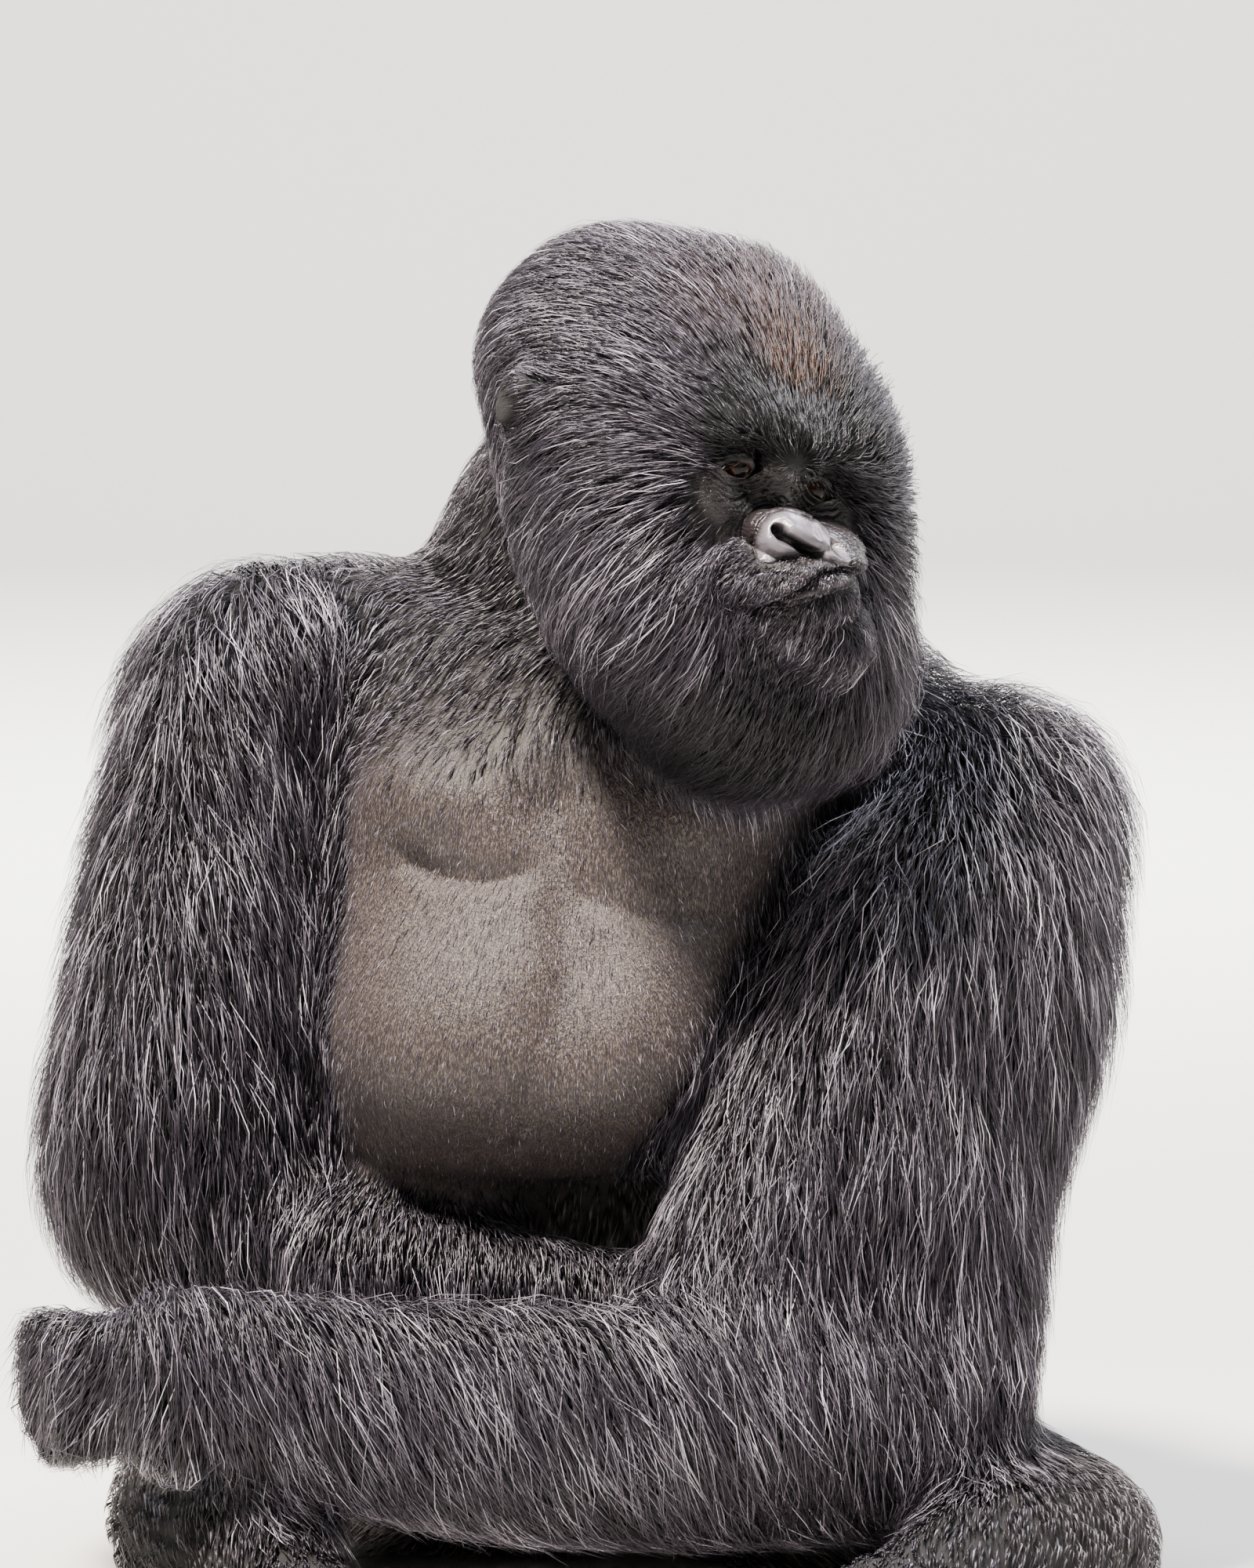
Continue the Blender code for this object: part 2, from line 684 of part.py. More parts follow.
def make_arm_r():
    """Fuse the right arm: hanging upper arm, forearm across the lap, hand out of sight."""
    bm = bmesh.new()
    add_ellipsoid(bm, (-0.288, 0.042, 0.694), (0.114, 0.126, 0.122))
    add_loft(bm, UPPER_ARM_R, up=(0.0, 1.0, 0.0))
    add_loft(bm, FOREARM_R)
    add_hand(bm, (0.050, -0.212, 0.256), (0.90, 0.30, -0.22), (0.0, -0.75, 0.66), 0.088,
             (62.0, 82.0, 50.0), False)
    return fuse("arm_r", bm, VOXEL_BODY, 12)


def make_arm_l():
    """Fuse the left arm: upper arm to the elbow, forearm and hand crossing in front."""
    bm = bmesh.new()
    add_ellipsoid(bm, (0.298, 0.045, 0.602), (0.120, 0.130, 0.126))
    add_loft(bm, UPPER_ARM_L, up=(0.0, 1.0, 0.0))
    add_loft(bm, ELBOW_L, up=(0.0, 1.0, 0.0))
    add_ellipsoid(bm, (0.198, -0.180, 0.335), (0.112, 0.100, 0.130))
    add_loft(bm, FOREARM_L)
    add_hand(bm, (-0.312, -0.366, 0.244), (-1.0, 0.03, -0.10), (0.0, -1.0, 0.15), 0.112,
             (58.0, 70.0, 45.0), True)
    return fuse("arm_l", bm, 0.0055, 6)


def make_leg(name, thigh, shin, ahead, inner):
    """Fuse one folded leg with its foot on the floor."""
    bm = bmesh.new()
    add_loft(bm, thigh)
    add_loft(bm, shin)
    add_foot(bm, shin[-1][0], ahead, inner)
    return fuse(name, bm, 0.0055, 3)


def paint(item, name, colour, roughness):
    """Give an object its own material."""
    material = bpy.data.materials.new(name)
    material.use_nodes = True
    shader = material.node_tree.nodes["Principled BSDF"]
    shader.inputs["Base Color"].default_value = (colour[0], colour[1], colour[2], 1.0)
    shader.inputs["Roughness"].default_value = roughness
    item.data.materials.clear()
    item.data.materials.append(material)


def build():
    """Build every solid, fit them together and centre the model on the floor."""
    clear_scene()
    head = make_head()
    torso = make_torso()
    arm_r = make_arm_r()
    arm_l = make_arm_l()
    leg_r = make_leg("leg_r", THIGH_R, SHIN_R, (-0.06, -1.0, 0.0), (1.0, 0.0, 0.0))
    leg_l = make_leg("leg_l", THIGH_L, SHIN_L, (0.08, -1.0, 0.0), (-1.0, 0.0, 0.0))
    forms = {"torso": torso, "arm_r": arm_r, "arm_l": arm_l, "leg_r": leg_r, "leg_l": leg_l}
    for name, item in forms.items():
        centre, reach = DIGITS.get(name, (None, 0.0))
        thin_out(item, BUDGET[name], centre, reach, 0.02)
    for item in (torso, leg_r, leg_l, arm_r, arm_l):
        trim_floor(item)
    order = [head, torso, leg_r, leg_l, arm_r, arm_l]
    for index, upper in enumerate(order):
        for lower in order[index + 1:]:
            shell = grown_copy(upper, SEAM)
            combine(lower, shell, "DIFFERENCE")
            drop(shell)
    nodes = {}
    nodes.update(make_eyes(head))
    nodes.update(make_ears(head))
    nodes.update(part_at(head, [], {"head": HEAD_CENTRE}))
    nodes.update(part_at(
        torso,
        [((0.0, 0.08, 0.812), (0.0, -0.24, 0.97), 0.32), ((-0.07, 0.10, 0.335), (0.0, 0.06, 1.0), 0.60)],
        {"neck": (0.0, 0.08, 0.85), "trunk": (-0.03, 0.08, 0.56), "rump": (-0.08, 0.15, 0.17)}))
    nodes.update(part_at(
        arm_r,
        [((-0.213, -0.132, 0.286), (0.78, -0.61, -0.12), 0.11), ((0.046, -0.212, 0.257), (0.95, -0.05, -0.15), 0.09)],
        {"upper_arm_r": (-0.31, 0.0, 0.50), "forearm_r": (-0.12, -0.17, 0.28), "hand_r": (0.11, -0.19, 0.23)}))
    nodes.update(part_at(
        arm_l,
        [((0.190, -0.218, 0.235), (-0.82, -0.35, -0.45), 0.26), ((-0.318, -0.37, 0.247), (-1.0, 0.0, 0.0), 0.13)],
        {"upper_arm_l": (0.26, -0.05, 0.42), "forearm_l": (-0.05, -0.33, 0.20), "hand_l": (-0.38, -0.35, 0.22)}))
    nodes.update(part_at(
        leg_r,
        [((-0.312, -0.262, 0.090), (0.25, -0.93, -0.20), 0.12), ((-0.224, -0.432, 0.060), (0.20, -0.90, -0.25), 0.08)],
        {"thigh_r": (-0.25, -0.05, 0.12), "shin_r": (-0.27, -0.35, 0.07), "foot_r": (-0.22, -0.54, 0.03)}))
    nodes.update(part_at(
        leg_l,
        [((0.345, -0.245, 0.070), (-0.55, -0.82, -0.10), 0.12), ((0.212, -0.422, 0.058), (-0.45, -0.85, -0.20), 0.08)],
        {"thigh_l": (0.20, 0.0, 0.10), "shin_l": (0.28, -0.34, 0.06), "foot_l": (0.20, -0.53, 0.03)}))
    low = Vector((9.0, 9.0, 9.0))
    high = Vector((-9.0, -9.0, -9.0))
    for item in nodes.values():
        for vert in item.data.vertices:
            for axis in range(3):
                low[axis] = min(low[axis], vert.co[axis])
                high[axis] = max(high[axis], vert.co[axis])
    shift = Matrix.Translation(Vector((-(low[0] + high[0]) * 0.5, -(low[1] + high[1]) * 0.5, -low[2])))
    for name, item in nodes.items():
        item.data.transform(shift)
        if name.startswith("eye"):
            paint(item, name, (0.030, 0.014, 0.008), 0.10)
        elif name in ("head", "ear_r", "ear_l"):
            paint(item, name, (0.018, 0.016, 0.016), 0.60)
        elif name == "trunk":
            paint(item, name, (0.060, 0.050, 0.048), 0.55)
        else:
            paint(item, name, (0.030, 0.027, 0.028), 0.65)
    return nodes


build()
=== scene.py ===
"""Looks of a still, life-size silverback gorilla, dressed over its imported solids.

One skin replaces all the solids of flesh. The coat grows from that skin as solid
tufts that follow the lie of the hair, region by region.
"""

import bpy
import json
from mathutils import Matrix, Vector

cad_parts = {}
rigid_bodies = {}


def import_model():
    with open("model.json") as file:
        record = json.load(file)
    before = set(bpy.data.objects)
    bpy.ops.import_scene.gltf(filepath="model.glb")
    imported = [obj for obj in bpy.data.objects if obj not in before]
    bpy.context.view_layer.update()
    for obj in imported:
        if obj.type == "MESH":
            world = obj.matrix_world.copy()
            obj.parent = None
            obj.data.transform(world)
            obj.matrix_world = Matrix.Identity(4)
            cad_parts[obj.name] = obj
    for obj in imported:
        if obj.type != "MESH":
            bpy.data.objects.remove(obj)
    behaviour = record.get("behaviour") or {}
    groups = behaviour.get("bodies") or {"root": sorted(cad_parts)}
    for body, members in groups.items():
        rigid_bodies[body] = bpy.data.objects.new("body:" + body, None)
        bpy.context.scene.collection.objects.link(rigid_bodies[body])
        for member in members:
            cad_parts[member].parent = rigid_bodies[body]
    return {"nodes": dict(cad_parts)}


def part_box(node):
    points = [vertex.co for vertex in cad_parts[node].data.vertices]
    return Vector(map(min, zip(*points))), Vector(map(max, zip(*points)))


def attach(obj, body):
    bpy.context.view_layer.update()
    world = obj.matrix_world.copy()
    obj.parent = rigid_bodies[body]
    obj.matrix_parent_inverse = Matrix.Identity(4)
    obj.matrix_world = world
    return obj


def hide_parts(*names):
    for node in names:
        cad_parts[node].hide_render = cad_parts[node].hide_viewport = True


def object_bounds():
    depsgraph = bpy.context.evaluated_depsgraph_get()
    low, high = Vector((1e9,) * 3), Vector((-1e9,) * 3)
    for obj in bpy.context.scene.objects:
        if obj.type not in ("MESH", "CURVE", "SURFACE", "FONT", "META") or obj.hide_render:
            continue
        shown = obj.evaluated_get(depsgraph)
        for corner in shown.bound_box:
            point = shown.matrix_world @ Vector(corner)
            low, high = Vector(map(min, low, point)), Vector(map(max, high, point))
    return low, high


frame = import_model()
CAD_BOX = [list(corner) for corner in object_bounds()]

import json
import logging
import math
from collections.abc import Iterator
from contextlib import contextmanager
from dataclasses import dataclass, field
from enum import Enum

import bpy
import numpy as np
from mathutils import Matrix, Vector
from mathutils.bvhtree import BVHTree

Tree = bpy.types.NodeTree
Socket = bpy.types.NodeSocket
LOG = logging.getLogger("gorilla")
FLOOR_GAP = 0.0012            # lowest that skin or hair comes to the floor


# ---------------------------------------------------------------- small helpers
def linear(code: str) -> tuple[float, float, float, float]:
    """Turn an sRGB hex colour into linear values.

    Args:
        code: the colour as "#rrggbb".

    Returns:
        Linear red, green, blue and an alpha of one.
    """
    parts = [int(code[k:k + 2], 16) / 255.0 for k in (1, 3, 5)]
    low = [p / 12.92 if p <= 0.04045 else ((p + 0.055) / 1.055) ** 2.4 for p in parts]
    return (low[0], low[1], low[2], 1.0)


def deselect() -> None:
    """Leave nothing selected."""
    for item in bpy.context.view_layer.objects.selected[:]:
        item.select_set(False)


def activate(item: bpy.types.Object) -> None:
    """Select one object alone and make it the active one."""
    deselect()
    item.select_set(True)
    bpy.context.view_layer.objects.active = item


@contextmanager
def editing(item: bpy.types.Object, chosen: np.ndarray | None = None, kind: str = "VERT") -> Iterator[None]:
    """Open edit mode on one object alone, and close it again.

    Args:
        item: the mesh object.
        chosen: what is selected, one flag for each vertex or face; all of it when left out.
        kind: "VERT" or "FACE", what the flags are for.
    """
    activate(item)
    bpy.ops.object.mode_set(mode="EDIT")
    bpy.ops.mesh.select_mode(type=kind)
    bpy.ops.mesh.select_all(action="SELECT" if chosen is None else "DESELECT")
    if chosen is not None:
        bpy.ops.object.mode_set(mode="OBJECT")
        parts = item.data.vertices if kind == "VERT" else item.data.polygons
        parts.foreach_set("select", chosen)
        bpy.ops.object.mode_set(mode="EDIT")
    yield
    bpy.ops.object.mode_set(mode="OBJECT")


def apply_modifier(item: bpy.types.Object, kind: str, **settings) -> None:
    """Give an object a modifier with its settings and apply it."""
    modifier = item.modifiers.new(kind.lower(), kind)
    for name, value in settings.items():
        setattr(modifier, name, value)
    activate(item)
    bpy.ops.object.modifier_apply(modifier=modifier.name)


def read(parts: bpy.types.bpy_prop_collection, name: str, wide: int, kind: type = float) -> np.ndarray:
    """Read one property of a mesh's parts as an array with so many columns."""
    flat = np.empty(len(parts) * wide, dtype=kind)
    parts.foreach_get(name, flat)
    return flat.reshape((-1, wide))


def read_points(item: bpy.types.Object) -> np.ndarray:
    """Return the vertices of a mesh object."""
    return read(item.data.vertices, "co", 3)


def read_normals(item: bpy.types.Object) -> np.ndarray:
    """Return the vertex normals of a mesh object."""
    return read(item.data.vertex_normals, "vector", 3)


def read_edges(item: bpy.types.Object) -> np.ndarray:
    """Return the vertex pairs of a mesh object's edges."""
    return read(item.data.edges, "vertices", 2, np.int64)


def write_points(item: bpy.types.Object, points: np.ndarray) -> None:
    """Move the vertices of a mesh object to the given points."""
    item.data.vertices.foreach_set("co", np.ascontiguousarray(points).reshape(-1))
    item.data.update()


def unit_rows(rows: np.ndarray) -> np.ndarray:
    """Scale each row of an array to length one."""
    return rows / np.maximum(np.linalg.norm(rows, axis=1, keepdims=True), 1e-9)


def smoothstep(low: float, high: float, value: np.ndarray) -> np.ndarray:
    """Rise smoothly from 0 at low to 1 at high."""
    t = np.clip((value - low) / (high - low), 0.0, 1.0)
    return t * t * (3.0 - 2.0 * t)


def blend(old: np.ndarray, new: np.ndarray | float, share: np.ndarray) -> np.ndarray:
    """Pass from old values to new ones by a share from 0 to 1."""
    return old * (1 - share) + new * share


def blob(points: np.ndarray, centre: tuple, radii: tuple) -> np.ndarray:
    """Return how deep each point is in an ellipsoid, 1 at its centre and 0 outside.

    Args:
        points: the points to weigh.
        centre: centre of the ellipsoid.
        radii: its three half sizes.

    Returns:
        One weight for each point.
    """
    offset = (points - np.array(centre)) / np.array(radii)
    reach = np.clip(1.0 - np.sum(offset * offset, axis=1), 0.0, 1.0)
    return reach * reach


@dataclass(frozen=True)
class Patch:
    """A soft ellipsoid that counts most at its centre."""

    centre: tuple[float, float, float]
    radii: tuple[float, float, float]
    share: float = 1.0


def heap(points: np.ndarray, patches: tuple[Patch, ...], start: np.ndarray | float = 0.0) -> np.ndarray:
    """Add what some patches give each point to what is there already."""
    return sum((patch.share * blob(points, patch.centre, patch.radii) for patch in patches), start)


def ridge(gap: np.ndarray, wide: float) -> np.ndarray:
    """Return the height of a soft ridge or groove, 1 on its middle line."""
    return np.exp(-(gap / wide) ** 2)


def taper(along: np.ndarray, start: float, end: float) -> np.ndarray:
    """Fade a line out towards both its ends: it is full from start to end."""
    return smoothstep(0.0, start, along) * smoothstep(1.0, end, along)


def spread(values: np.ndarray, edges: np.ndarray, rounds: int, keep: float = 0.0) -> np.ndarray:
    """Average values with their neighbours over a mesh, several times.

    Args:
        values: one row for each vertex.
        edges: the vertex pairs of the mesh.
        rounds: how often to average.
        keep: share of the old value that stays each time.

    Returns:
        The smoothed values.
    """
    count = len(values)
    a, b = edges[:, 0], edges[:, 1]
    near = np.bincount(a, minlength=count) + np.bincount(b, minlength=count)
    near = np.maximum(near, 1).astype(float)
    result = values.astype(float).reshape((count, -1)).copy()
    for _ in range(rounds):
        for column in range(result.shape[1]):
            line = result[:, column]
            total = np.bincount(a, weights=line[b], minlength=count)
            total += np.bincount(b, weights=line[a], minlength=count)
            result[:, column] = keep * line + (1.0 - keep) * total / near
    return result.reshape(values.shape)


def add_object(name: str, data: bpy.types.ID) -> bpy.types.Object:
    """Put a mesh, a light or a camera into the scene as an object."""
    item = bpy.data.objects.new(name, data)
    bpy.context.scene.collection.objects.link(item)
    return item


def add_mesh(name: str, points: np.ndarray, faces: np.ndarray) -> bpy.types.Object:
    """Make a smooth mesh object from arrays of points and triangles."""
    mesh = bpy.data.meshes.new(name)
    mesh.vertices.add(len(points))
    mesh.vertices.foreach_set("co", np.ascontiguousarray(points, dtype=np.float32).reshape(-1))
    mesh.loops.add(len(faces) * 3)
    mesh.loops.foreach_set("vertex_index", np.ascontiguousarray(faces, dtype=np.int32).reshape(-1))
    mesh.polygons.add(len(faces))
    mesh.polygons.foreach_set("loop_start", np.arange(len(faces), dtype=np.int32) * 3)
    mesh.polygons.foreach_set("use_smooth", np.ones(len(faces), dtype=bool))
    mesh.update(calc_edges=True)
    return add_object(name, mesh)


def add_field(item: bpy.types.Object, name: str, values: np.ndarray) -> None:
    """Store one number for each vertex of a mesh under a name that its material reads."""
    layer = item.data.attributes.new(name, "FLOAT", "POINT")
    layer.data.foreach_set("value", np.ascontiguousarray(values, dtype=np.float32))


# ---------------------------------------------------------------- materials
def fill(node: bpy.types.Node, values: dict | None = None, links: dict | None = None) -> None:
    """Set some inputs of a node to plain values and link others to output sockets."""
    for name, value in (values or {}).items():
        node.inputs[name].default_value = value
    for name, socket in (links or {}).items():
        node.id_data.links.new(socket, node.inputs[name])


def add_node(tree: Tree, kind: str, values: dict | None = None, links: dict | None = None,
             **settings) -> bpy.types.Node:
    """Add a node with its settings, input values and links.

    Args:
        tree: the material's node tree.
        kind: the node's type name.
        values: input name or index to a plain value.
        links: input name or index to an output socket.
        **settings: properties of the node itself.

    Returns:
        The new node.
    """
    node = tree.nodes.new(kind)
    for name, value in settings.items():
        setattr(node, name, value)
    fill(node, values, links)
    return node


def new_material(name: str) -> tuple[bpy.types.Material, Tree, bpy.types.Node]:
    """Make an empty material and return it with its tree and its shader node."""
    material = bpy.data.materials.new(name)
    material.use_nodes = True
    return material, material.node_tree, material.node_tree.nodes["Principled BSDF"]


def stops(node: bpy.types.Node, colours: list[tuple[float, str]]) -> None:
    """Set a colour ramp's stops from places and hex colours."""
    ramp = node.color_ramp
    while len(ramp.elements) > len(colours):
        ramp.elements.remove(ramp.elements[-1])
    while len(ramp.elements) < len(colours):
        ramp.elements.new(1.0)
    for element, (place, code) in zip(ramp.elements, colours):
        element.position = place
        element.color = linear(code)


@dataclass(frozen=True)
class Hair:
    """Gorilla guard hair: dark keratin, smooth, so it shines along its lie; its pale and light tones are
    partly its own grey strands and partly painted sheen, grey streaks coloured into the tufts.
    """

    name: str = "guard_hair"
    root: str = "#0d0b0e"
    dark: str = "#0f0d11"
    mid: str = "#332e39"
    # pale and light: partly grey hairs, partly painted sheen that stands for the shine of the black hair
    pale: str = "#8b8592"
    light: str = "#e2dee8"
    silver: str = "#b4aeaa"
    russet: str = "#4f331d"
    roughness: float = 0.40
    ior: float = 1.55
    shine: float = 0.32

    def make(self) -> bpy.types.Material:
        """Build the material of the coat's tufts."""
        material, tree, shader = new_material(self.name)
        fields = {}
        for key in ("along", "tone", "silver", "russet"):
            fields[key] = add_node(tree, "ShaderNodeAttribute", attribute_name=key).outputs["Fac"]
        tone = add_node(tree, "ShaderNodeValToRGB", links={0: fields["tone"]})
        stops(tone, [(0.0, self.dark), (0.40, self.mid), (0.75, self.pale), (1.0, self.light)])
        colour = tone.outputs[0]
        for key, paint in (("silver", self.silver), ("russet", self.russet)):
            colour = add_node(tree, "ShaderNodeMix", {7: linear(paint)}, {0: fields[key], 6: colour},
                              data_type="RGBA").outputs[2]
        rise = add_node(tree, "ShaderNodeMapRange", {1: 0.02, 2: 0.55}, {0: fields["along"]})
        colour = add_node(tree, "ShaderNodeMix", {6: linear(self.root)}, {0: rise.outputs[0], 7: colour},
                          data_type="RGBA").outputs[2]
        fill(shader, {"Roughness": self.roughness, "IOR": self.ior, "Specular IOR Level": self.shine},
             {"Base Color": colour})
        return material


@dataclass(frozen=True)
class Skin:
    """Gorilla skin: black and creased on the face, brown-grey under short hair on the chest, with a painted
    highlight on the black nose pad.
    """

    name: str = "gorilla_skin"
    covered: str = "#0c0b0d"
    face: str = "#1b1719"
    chest: str = "#201a19"
    chest_light: str = "#302927"
    silver: str = "#4b4745"
    palm: str = "#1b1819"
    russet: str = "#24160f"
    tips: str = "#685e5a"
    dull: float = 0.85
    sleek: float = 0.55
    wet: float = 0.68
    gloss: float = 0.35
    pore_mm: float = 1.6
    fleck_mm: float = 2.4
    crease_mm: float = 3.4
    # painted highlight: the nose pad is black leather, coloured pale grey here to stand for the sheen on it
    pad: str = "#57535a"
    roughness: float = 0.31

    def make(self) -> bpy.types.Material:
        """Build the material of the skin."""
        material, tree, shader = new_material(self.name)
        place = add_node(tree, "ShaderNodeTexCoord").outputs["Object"]
        fields = {}
        for key in ("face", "chest", "silver", "russet", "palm", "wet"):
            fields[key] = add_node(tree, "ShaderNodeAttribute", attribute_name=key).outputs["Fac"]
        short = add_node(tree, "ShaderNodeMapping", {"Scale": (1.0, 1.0, 0.28)}, {"Vector": place})
        fleck = add_node(tree, "ShaderNodeTexNoise",
                         {"Scale": 1000.0 / self.fleck_mm * 2.2, "Detail": 2.0, "Roughness": 0.6},
                         {"Vector": short.outputs[0]}).outputs[0]
        fill(shader, {"Specular IOR Level": self.gloss},
             {"Base Color": self.colour(tree, place, fields, fleck),
              "Normal": self.relief(tree, place, fields, fleck), "Roughness": self.dullness(tree, fields)})
        return material

    def colour(self, tree: Tree, place: Socket, fields: dict[str, Socket], fleck: Socket) -> Socket:
        """Lay the colours of the bare parts over that of the covered skin, and a painted highlight of pale
        grey over the nose pad.
        """
        blotch = add_node(tree, "ShaderNodeTexNoise", {"Scale": 22.0, "Detail": 4.0}, {"Vector": place})
        tip = add_node(tree, "ShaderNodeMapRange", {1: 0.49, 2: 0.67, 4: 0.72}, {0: fleck})
        bare = add_node(tree, "ShaderNodeMix", {6: linear(self.chest), 7: linear(self.chest_light)},
                        {0: blotch.outputs[0]}, data_type="RGBA")
        bare = add_node(tree, "ShaderNodeMix", {7: linear(self.tips)},
                        {0: tip.outputs[0], 6: bare.outputs[2]}, data_type="RGBA")
        colour = add_node(tree, "ShaderNodeMix", {6: linear(self.covered)},
                          {0: fields["chest"], 7: bare.outputs[2]}, data_type="RGBA")
        # the pad colour laid under the wet mask is a painted highlight on the black nose pad
        for key, paint in (("silver", self.silver), ("russet", self.russet), ("palm", self.palm),
                           ("face", self.face), ("wet", self.pad)):
            colour = add_node(tree, "ShaderNodeMix", {7: linear(paint)},
                              {0: fields[key], 6: colour.outputs[2]}, data_type="RGBA")
        return colour.outputs[2]

    def relief(self, tree: Tree, place: Socket, fields: dict[str, Socket], fleck: Socket) -> Socket:
        """Raise pores, grain, short hair and the face's fine cracks."""
        dry = add_node(tree, "ShaderNodeMath", {0: 1.0}, {1: fields["wet"]}, operation="SUBTRACT").outputs[0]
        pores = add_node(tree, "ShaderNodeTexVoronoi", {"Scale": 1000.0 / self.pore_mm}, {"Vector": place})
        grain = add_node(tree, "ShaderNodeTexNoise", {"Scale": 260.0, "Detail": 5.0, "Distortion": 0.6},
                         {"Vector": place})
        bands = add_node(tree, "ShaderNodeTexWave",
                         {"Scale": 50.0 * math.tau / self.crease_mm, "Distortion": 9.0, "Detail": 3.0,
                          "Detail Scale": 1.6}, {"Vector": place}, bands_direction="Z")
        cracks = add_node(tree, "ShaderNodeMapRange", {1: 0.05, 2: 0.45}, {0: bands.outputs["Fac"]})
        links = {}
        for height, shares, strength, deep in (
                (pores.outputs[0], (dry,), 0.35, 0.0006), (grain.outputs[0], (), 0.5, 0.0010),
                (fleck, (fields["chest"],), 0.8, 0.0014),
                (cracks.outputs[0], (fields["face"], dry), 0.45, 0.0008)):
            for share in shares:
                height = add_node(tree, "ShaderNodeMath", None, {0: height, 1: share},
                                  operation="MULTIPLY").outputs[0]
            relief = add_node(tree, "ShaderNodeBump", {"Strength": strength, "Distance": deep},
                              links | {"Height": height})
            links = {"Normal": relief.outputs[0]}
        return links["Normal"]

    def dullness(self, tree: Tree, fields: dict[str, Socket]) -> Socket:
        """Make the face smoother than the covered skin, chest and nose pad smoother in their own shares."""
        rough = add_node(tree, "ShaderNodeMapRange", {3: self.dull, 4: self.roughness}, {0: fields["face"]})
        for key, share in (("chest", self.sleek), ("wet", self.wet)):
            part = add_node(tree, "ShaderNodeMapRange", {3: 1.0, 4: share}, {0: fields[key]})
            rough = add_node(tree, "ShaderNodeMath", None, {0: rough.outputs[0], 1: part.outputs[0]},
                             operation="MULTIPLY")
        return rough.outputs[0]


@dataclass(frozen=True)
class EyeFinish:
    """Wet eyeball: black pupil, dark amber-brown iris, nearly black white of the eye."""

    name: str = "wet_eyeball"
    pupil: str = "#020202"
    iris: str = "#241107"
    rim: str = "#0d0603"
    white: str = "#140c08"

    def make(self, centre: Vector, gaze: Vector) -> bpy.types.Material:
        """Build one eye's material.

        Args:
            centre: the eyeball's centre.
            gaze: unit direction that the eye looks in.

        Returns:
            The material, ringed about the gaze.
        """
        material, tree, shader = new_material(self.name)
        place = add_node(tree, "ShaderNodeTexCoord").outputs["Object"]
        away = add_node(tree, "ShaderNodeVectorMath", {1: centre[:]}, {0: place}, operation="SUBTRACT")
        aim = add_node(tree, "ShaderNodeVectorMath", None, {0: away.outputs[0]}, operation="NORMALIZE")
        turn = add_node(tree, "ShaderNodeVectorMath", {1: gaze[:]}, {0: aim.outputs[0]},
                        operation="DOT_PRODUCT")
        ring = add_node(tree, "ShaderNodeMapRange", {1: 0.70, 2: 1.0}, {0: turn.outputs["Value"]})
        ramp = add_node(tree, "ShaderNodeValToRGB", links={0: ring.outputs[0]})
        stops(ramp, [(0.0, self.white), (0.12, self.rim), (0.34, self.iris), (0.80, self.iris),
                     (0.88, self.pupil)])
        ramp.color_ramp.interpolation = "EASE"
        fill(shader, {"Roughness": 0.12, "Specular IOR Level": 0.10, "Coat Weight": 0.05,
                      "Coat Roughness": 0.03}, {"Base Color": ramp.outputs[0]})
        return material


@dataclass(frozen=True)
class Horn:
    """Nail: dark horn with fine lengthwise ridges and a dull polish."""

    name: str = "nail_horn"
    base: str = "#241f1d"
    edge: str = "#4a423d"
    ridge_mm: float = 1.2

    def make(self) -> bpy.types.Material:
        """Build the nails' material."""
        material, tree, shader = new_material(self.name)
        place = add_node(tree, "ShaderNodeTexCoord").outputs["Object"]
        noise = add_node(tree, "ShaderNodeTexNoise", {"Scale": 1000.0 / self.ridge_mm, "Detail": 2.0},
                         {"Vector": place})
        colour = add_node(tree, "ShaderNodeMix", {6: linear(self.base), 7: linear(self.edge)},
                          {0: noise.outputs[0]}, data_type="RGBA")
        bump = add_node(tree, "ShaderNodeBump", {"Strength": 0.3, "Distance": 0.0004},
                        {"Height": noise.outputs[0]})
        fill(shader, {"Roughness": 0.34}, {"Base Color": colour.outputs[2], "Normal": bump.outputs[0]})
        return material


